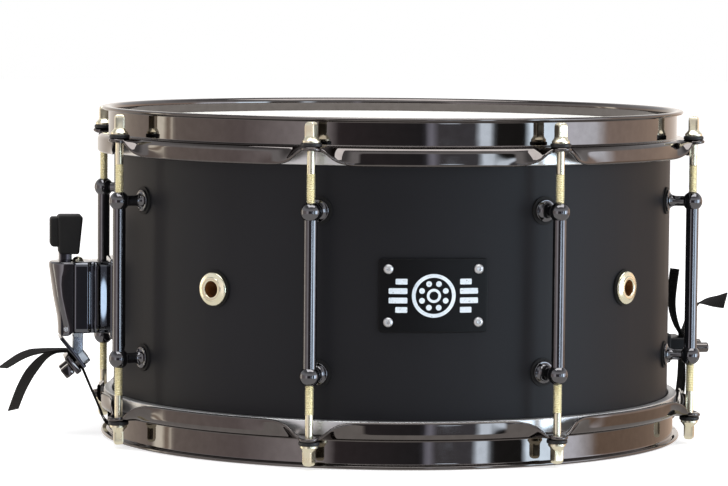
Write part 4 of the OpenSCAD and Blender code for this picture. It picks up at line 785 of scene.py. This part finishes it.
# Butt plate. A die-cast block on a foot plate, enamelled black, opposite the throw-off. Its clamp plate and two
# plated thumb screws hold the other strap.
butt_front, butt_z, butt_h, butt_w, foot_margin = shell_r + 13.3, z_mid - 50.4, 13.0, 30.0, 3
thumb_r, thumb_l, thumb_root = 3.25, 10, butt_front - 5
butt_block = bedded(box_outline(butt_w, butt_h, 1.5, 0, butt_z), [(shell_r, 0), *eased(shell_r, butt_front, 1)[6:]])
butt_foot = bedded(evenly(box_outline(butt_w + 2 * foot_margin, butt_h + 2 * foot_margin, 3, 0, butt_z), 70),
                   [(shell_r, 0), (shell_r + 1.5, 0), *eased(shell_r, shell_r + 3, 1)[6:]])
skin("butt_casting", [butt_block, butt_foot], black_enamel, ["butt_body"], capped=True)
butt_clamp = slab(box_outline(clamp_w, butt_h, 1.2, 0, butt_z),
                  eased(butt_front + strap_stack, butt_front + clamp_out, 0.8))
skin("butt_clamp_plate", [butt_clamp[..., (2, 0, 1)]], black_enamel, ["butt_clamp"], capped=True)
thumb_low = butt_front + clamp_out + hair
thumb_head = rounded([(clamp_shank_r, thumb_low, 0), (thumb_r, thumb_low, 0.3), (thumb_r, thumb_low + thumb_l, 1.2),
                      (0, thumb_low + thumb_l, 0)], 5, closed=False)
thumb = lathe([(0, thumb_root), (clamp_shank_r, thumb_root), *thumb_head], turns=40)
skin("butt_clamp_screw", [outward(thumb, 0, butt_z) + (0, y, 0) for y in (-screw_y, screw_y)], black_nickel,
     ["butt_clamp_screws"])

# Snare wires. Twenty strands of coiled steel wire under the lower film, soldered to a stamped end plate at each side.
# A coil's turns are drawn 1.5 mm apart so that they show.
strands, strand_pitch, coil_r, wire_r, coil_pitch = 20, 3.8, 0.85, 0.25, 1.5
wire_z, wire_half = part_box("snare_wires")[0].z / MM + 1.1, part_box("snare_wires")[1].x / MM


def coil():
    """A wire wound about X: its middle runs round a circle of the coil's radius while x rises one pitch a turn, and
    its own section is a triangle in the plane of the radius and X."""
    a = np.linspace(0, 2 * np.pi * 2 * wire_half / coil_pitch, int(12 * wire_half / coil_pitch))[:, None]
    b = np.arange(4) * 2 * np.pi / 3
    r = coil_r + wire_r * np.cos(b)
    x = -wire_half + coil_pitch * a / (2 * np.pi) + wire_r * np.sin(b)
    return np.stack([x, r * np.cos(a), r * np.sin(a)], -1)


skin("snare_wire_coils", [coil() + (0, (k - (strands - 1) / 2) * strand_pitch, wire_z) for k in range(strands)],
     stainless_steel, ["snare_wires"], capped=True)
dress(stainless_steel, "throw_end_plate", "butt_end_plate")

# Straps. Two lengths of black ribbed ribbon, 15 mm wide, each folded through its end plate and clamped double, with
# both tails left long and cut at a slant. Stations are (outwards, up, twist in degrees), as the solids have them.
strap_w, strap_t, gap, mouth_r, slot_from_edge, cut_l = 15.0, 0.7, 0.1, 2.0, 2.6, 12
layer_1 = gap + strap_t / 2
layer_2 = layer_1 + strap_t + gap
plate_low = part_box("throw_end_plate")[0].z / MM
plate_reach, plate_high = -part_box("throw_end_plate")[0].x / MM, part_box("throw_end_plate")[1].z / MM
rise_1, rise_2 = plate_high + gap + strap_t / 2, plate_low - gap - strap_t / 2
turn_x = plate_reach - slot_from_edge - strap_t / 2 - 1
fold = [(turn_x + 2.2, rise_1, 0), (turn_x + 0.7, rise_1 - 0.1, 0), (turn_x, (rise_1 + rise_2) / 2, 0),
        (turn_x + 0.7, rise_2 + 0.1, 0), (turn_x + 2.2, rise_2, 0)]


def mouth(layer, at, radius, angles, way):
    """Stations of a strap bending round an edge of the clamp plate: a circle about a point off the slope."""
    reach = radius + layer_2 - layer
    return [(*clamp_at(at + way * (0.4 + reach * math.sin(a)), layer_2 + radius - reach * math.cos(a)), 0)
            for a in np.radians(angles)]


def upper_mouth(layer):
    """The strap leaving the clamp's upper edge, level with the floor at its end."""
    return mouth(layer, plate_to, mouth_r, (0, 17, 34, 51), 1)


def lower_mouth(layer):
    """The strap leaving the clamp's lower edge, a little steeper than the slope."""
    return mouth(layer, plate_from, 2 * mouth_r, (0, 8, 16), -1)


def shifted(stations, u, v):
    """Stations moved to where they start from."""
    return [(u + x, v + y, twist) for x, y, twist in stations]


throw_route = (
    shifted([(45, -11.4, -7), (39.4, -7.6, -9), (32.5, -3.2, -10), (26, -0.5, -9), (20.5, 0.5, -6), (15, 1.1, -3),
             (9, 1.5, 0)], clamp_x, clamp_z)
    + upper_mouth(layer_1)[::-1] + [(*clamp_at(screw_at, layer_1), 0)] + lower_mouth(layer_1)
    + [(shell_r + 14.2, z_low + 19.65, 0), (shell_r + 9.4, z_low + 8.45, 0), (shell_r + 6.6, rise_1 + 3.7, 0),
       (shell_r + 4.2, rise_1 + 0.6, 0), (shell_r + 1, rise_1, 0), (shell_r - 8, rise_1, 0)] + fold
    + [(shell_r - 8, rise_2, 0), (shell_r + 1, rise_2 + 0.2, 0), (shell_r + 4.8, rise_2 + 1.4, 0),
       (shell_r + 7.4, rise_2 + 5, 0), (shell_r + 9.95, z_low + 8.05, 0), (shell_r + 14.9, z_low + 19.35, 0)]
    + lower_mouth(layer_2)[::-1] + [(*clamp_at(screw_at, layer_2), 0)] + upper_mouth(layer_2)
    + shifted([(8.5, 0.3, 0), (12.5, -0.8, 3), (17.2, -3.6, 9), (22, -8.6, 15), (26.7, -14.8, 18), (31.5, -24, 18),
               (35.5, -34.5, 17)], clamp_x, clamp_z))
butt_face, butt_back, butt_over = butt_front + layer_1, butt_front + layer_2, butt_z + butt_h / 2
held = [butt_z + k * butt_h / 2 for k in (1, 0.5, 0, -0.5, -1)]
butt_route = (
    shifted([(-5, 44.3, 8), (-5.9, 37.5, 8), (-6.6, 30, 7), (-6.8, 22, 5), (-5.7, 14, 3), (-3.2, 6.5, 1),
             (-1.1, 2.9, 0), (-0.2, 1.2, 0)], butt_face, butt_over)
    + [(butt_face, up, 0) for up in held]
    + [(butt_face, z_low + 33.35, 0), (butt_face - 0.5, z_low + 22.35, 0), (butt_face - 2, z_low + 11.35, 0),
       (shell_r + 9.4, z_low + 4.15, 0), (shell_r + 6.2, rise_1 + 1.5, 0), (shell_r + 2, rise_1, 0),
       (shell_r - 8, rise_1, 0)] + fold
    + [(shell_r - 8, rise_2, 0), (shell_r + 2, rise_2 + 0.2, 0), (shell_r + 7, rise_2 + 2.25, 0),
       (shell_r + 10.4, z_low + 3.7, 0), (butt_back - 0.9, z_low + 10.35, 0), (butt_back + 0.3, z_low + 22.35, 0),
       (butt_back + 0.1, z_low + 33.35, 0)]
    + [(butt_back, up, 0) for up in held[::-1]]
    + shifted([(0.15, 1.2, 0), (0.8, 3, 0), (2.4, 7, 0), (5, 14.5, 0), (8.4, 20.2, 5), (12.4, 22.2, 14),
               (16.6, 22.7, 23), (22, 22.6, 34), (27.9, 23, 47)], butt_back, butt_over))


def ribbon(route, slant, steps=5):
    """A flat ribbon along a route. Points between stations lie on the Catmull-Rom curve through them. The ribbon's
    width turns about the route by the twist, its section is a thin rectangle, and its ends shear over the cut's
    length into a slant. Returns the grid, its places along the weave, and the ribbon's length."""
    p = np.array(route, float)
    q = np.concatenate([p[:1], p, p[-1:]])
    t = np.linspace(0, 1, steps + 1)[:-1, None]
    before, a, b, after = q[:-3, None], q[1:-2, None], q[2:-1, None], q[3:, None]
    p = 0.5 * (2 * a + (b - before) * t + (2 * before - 5 * a + 4 * b - after) * t ** 2
               + (3 * a - before - 3 * b + after) * t ** 3)
    p = np.concatenate([p.reshape(-1, 3), q[-1:]])
    run = np.append(0, np.cumsum(np.linalg.norm(np.diff(p[:, :2], axis=0), axis=1)))
    heading = np.gradient(p[:, :2], axis=0)
    heading /= np.linalg.norm(heading, axis=1, keepdims=True)
    twist = np.radians(p[:, 2])
    across = np.stack([np.sin(twist) * heading[:, 1], np.cos(twist), -np.sin(twist) * heading[:, 0]], -1)[:, None]
    along = np.stack([heading[:, 0], 0 * twist, heading[:, 1]], -1)[:, None]
    through = np.cross(along, across)
    s = np.concatenate([np.linspace(-1, 1, 7), np.linspace(1, -1, 7), [-1]])[None, :, None] * strap_w / 2
    side = np.repeat((1, -1, 1), (7, 7, 1))[None, :, None] * strap_t / 2
    shear = np.clip(1 - run / cut_l, 0, 1) - np.clip(1 - (run[-1] - run) / cut_l, 0, 1)
    shear = (slant * shear)[:, None, None] * (s / (strap_w / 2) + np.sign(shear)[:, None, None]) / 2
    middle = np.stack([p[:, 0], 0 * twist, p[:, 1]], -1)[:, None]
    weave = np.stack(np.broadcast_arrays(s[..., 0], run[:, None] + 0 * s[..., 0]), -1)
    return middle + across * s + through * side + along * shear, weave, run[-1]


# Grosgrain ribbon: black-brown polyester with ribs across it, drawn 1.2 mm apart so that they show, soft and dull.
grosgrain, tree = finish("grosgrain_ribbon")
place = add(tree, "UVMap", uv_map="weave")
ribs = add(tree, "TexWave", {"Vector": place, "Scale": 1 / (1.2 * MM) / 20 * 2 * np.pi, "Distortion": 0.4,
                             "Detail": 1}, wave_type="BANDS", bands_direction="Y")
fuzz = add(tree, "TexNoise", {"Vector": add(tree, "TexCoord").outputs["Object"], "Scale": 1 / (0.6 * MM), "Detail": 4})
# The rib bands tint the black-brown dye as well as the bump: painted shade, darker in the grooves between ribs and
# lighter on their tops.
dye_and_rib_shade = add(tree, "Mix", {0: ribs, 6: srgb("#070605"), 7: srgb("#171311")}, data_type="RGBA")
faded = add(tree, "Mix", {0: fuzz, 6: dye_and_rib_shade, 7: srgb("#0f0c0b")}, data_type="RGBA")
bump = add(tree, "Bump", {"Height": ribs, "Strength": 0.5, "Distance": 0.25 * MM})
shader = add(tree, "BsdfPrincipled", {"Base Color": faded, "Roughness": 0.9, "Specular IOR Level": 0.2,
                                      "Sheen Weight": 0.04, "Normal": bump})
add(tree, "OutputMaterial", {"Surface": shader})
for end, route, side, slant in (("throw", throw_route, -1, 5.0), ("butt", butt_route, 1, 0.8)):
    grid, weave, length = ribbon(route, slant)
    strap = skin(f"{end}_ribbon", [grid * (side, side, 1)], grosgrain, [f"{end}_strap"], capped=True,
                 weave=weave)
    if side < 0:
        strap.parent = None
        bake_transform(strap)

# Studio. A pale floor under soft light from above, in a room with pale walls, a tall window on the right, a narrow one
# on the left, dark screens in front and a small oval reflector low beside the camera, so that the plated parts show
# bright and dark bands. Only reflections see the room, and the eye sees plain white round the drum.
room_light = (
    (-180, 1.1, 1.05, 1.0), (-138, 0.96, 0.83, 0.7), (-110.5, 0.79, 0.68, 0.61), (-108.5, 2.9, 2.8, 2.4),
    (-103.5, 2.9, 2.8, 2.4), (-102, 0.9, 0.74, 0.6), (-100, 0.9, 0.74, 0.6), (-98.5, 2.3, 2.2, 1.9),
    (-96.5, 0.7, 0.61, 0.56), (-61, 0.53, 0.46, 0.46), (-28, 1.25, 1.2, 1.25), (-21, 0.14, 0.12, 0.13),
    (12.5, 0.08, 0.08, 0.09), (15, 1.0, 1.05, 1.3), (18, 0.25, 0.25, 0.28), (33, 0.25, 0.26, 0.3), (35, 3.0, 3.6, 4.2),
    (38, 3.0, 3.6, 4.2), (41, 0.06, 0.06, 0.06), (54, 0.05, 0.05, 0.05), (56, 3.9, 4.9, 5.8), (69, 3.9, 4.9, 5.8),
    (72, 2.7, 2.9, 3.3), (88, 2.5, 2.7, 3.0), (95, 1.1, 0.9, 0.8), (135, 1.05, 0.8, 0.63), (180, 1.1, 1.05, 1.0))
roof_front, roof_top, skirting_tone, floor_tone, reflector_tone = (
    (0.75, 0.75, 0.77, 1), (0.3, 0.3, 0.31, 1), (0.68, 0.5, 0.38, 1), (0.7, 0.68, 0.66, 1), (4.0, 4.9, 5.8, 1))
oval_bearing, oval_half_w, oval_height, oval_half_h = 22.5, 4.6, -0.09, 0.029

# The walls' light runs round the drum by bearing from the camera, in degrees, with a roof above, a floor below and a
# brown skirting low on the far right.
room = bpy.data.worlds.new("room")
bpy.context.scene.world = room
room.use_nodes = True
tree = room.node_tree
tree.nodes.clear()
gaze = add(tree, "TexCoord").outputs["Generated"]
right_of = add(tree, "VectorMath", {0: gaze, 1: (math.cos(yaw), -math.sin(yaw), 0)}, operation="DOT_PRODUCT")
toward = add(tree, "VectorMath", {0: gaze, 1: (-math.sin(yaw), -math.cos(yaw), 0)}, operation="DOT_PRODUCT")
bearing = add(tree, "Math", {0: right_of, 1: toward}, operation="ARCTAN2")
turned = add(tree, "MapRange", {"Value": bearing, "From Min": -math.pi, "From Max": math.pi})
ramp = add(tree, "ValToRGB", {0: turned})
stops = ramp.color_ramp.elements
stops[0].color, stops[1].color = (*room_light[0][1:], 1), (*room_light[-1][1:], 1)
for degrees, *light in room_light[1:-1]:
    stops.new((degrees + 180) / 360).color = (*light, 1)
height = add(tree, "SeparateXYZ", {0: gaze}).outputs[2]
above, overhead, below, low_down, far_right = (
    add(tree, "MapRange", {"Value": value, "From Min": start, "From Max": end}) for value, start, end in (
        (height, 0.2, 0.3), (height, 0.5, 0.75), (height, -0.22, -0.3), (height, -0.085, -0.11),
        (bearing, math.radians(78), math.radians(92))))
roof = add(tree, "Mix", {0: overhead, 6: roof_front, 7: roof_top}, data_type="RGBA")
skirting = add(tree, "Math", {0: low_down, 1: far_right}, operation="MULTIPLY")
aside = add(tree, "Math", {0: bearing, 1: 1 / math.radians(oval_half_w), 2: -oval_bearing / oval_half_w},
            operation="MULTIPLY_ADD")
raised = add(tree, "Math", {0: height, 1: 1 / oval_half_h, 2: -oval_height / oval_half_h}, operation="MULTIPLY_ADD")
from_middle = add(tree, "VectorMath", {0: add(tree, "CombineXYZ", {0: aside, 1: raised})}, operation="LENGTH")
oval = add(tree, "MapRange", {"Value": from_middle, "From Min": 1.15, "From Max": 0.85})
seen = ramp
for share, tone in ((above, roof), (skirting, skirting_tone), (below, floor_tone), (oval, reflector_tone)):
    seen = add(tree, "Mix", {0: share, 6: seen, 7: tone}, data_type="RGBA")
glow = add(tree, "Background", {"Color": seen, "Strength": 1})
plain = add(tree, "Background", {"Color": (1, 1, 1, 1), "Strength": 1})
camera_ray = add(tree, "LightPath").outputs["Is Camera Ray"]
both = add(tree, "MixShader", {0: camera_ray, 1: glow, 2: plain})
add(tree, "OutputWorld", {"Surface": both})

# Painted board: matt white, evenly lit from within a little so that it stays white up to its edges.
white_board = clouded("painted_board", "#f4f4f4", "#fafafa", size=3, detail=3, gloss=0.9, glow=0.6)
floor_half, floor_drop = 8, 0.0003
u, v = np.meshgrid(*[np.linspace(-floor_half, floor_half, 3)] * 2, indexing="ij")
board = bpy.data.meshes.new("floor")
corners = np.stack([u, v, 0 * u - floor_drop], -1).reshape(-1, 3)
quads = [(i, i + 3, i + 4, i + 1) for i in (0, 1, 3, 4)]
board.from_pydata(corners.tolist(), [], quads)
board.materials.append(white_board)
floor = bpy.data.objects.new("floor", board)
bpy.context.scene.collection.objects.link(floor)
floor.visible_glossy = False
panel = bpy.data.lights.new("ceiling_panel", "AREA")
panel.shape, panel.size, panel.size_y, panel.energy = "RECTANGLE", 2.4, 1.8, 45
ceiling = bpy.data.objects.new("ceiling_panel", panel)
ceiling.location = (0.2, -0.3, 2.2)
bpy.context.scene.collection.objects.link(ceiling)
bpy.context.scene.view_settings.view_transform = "Standard"
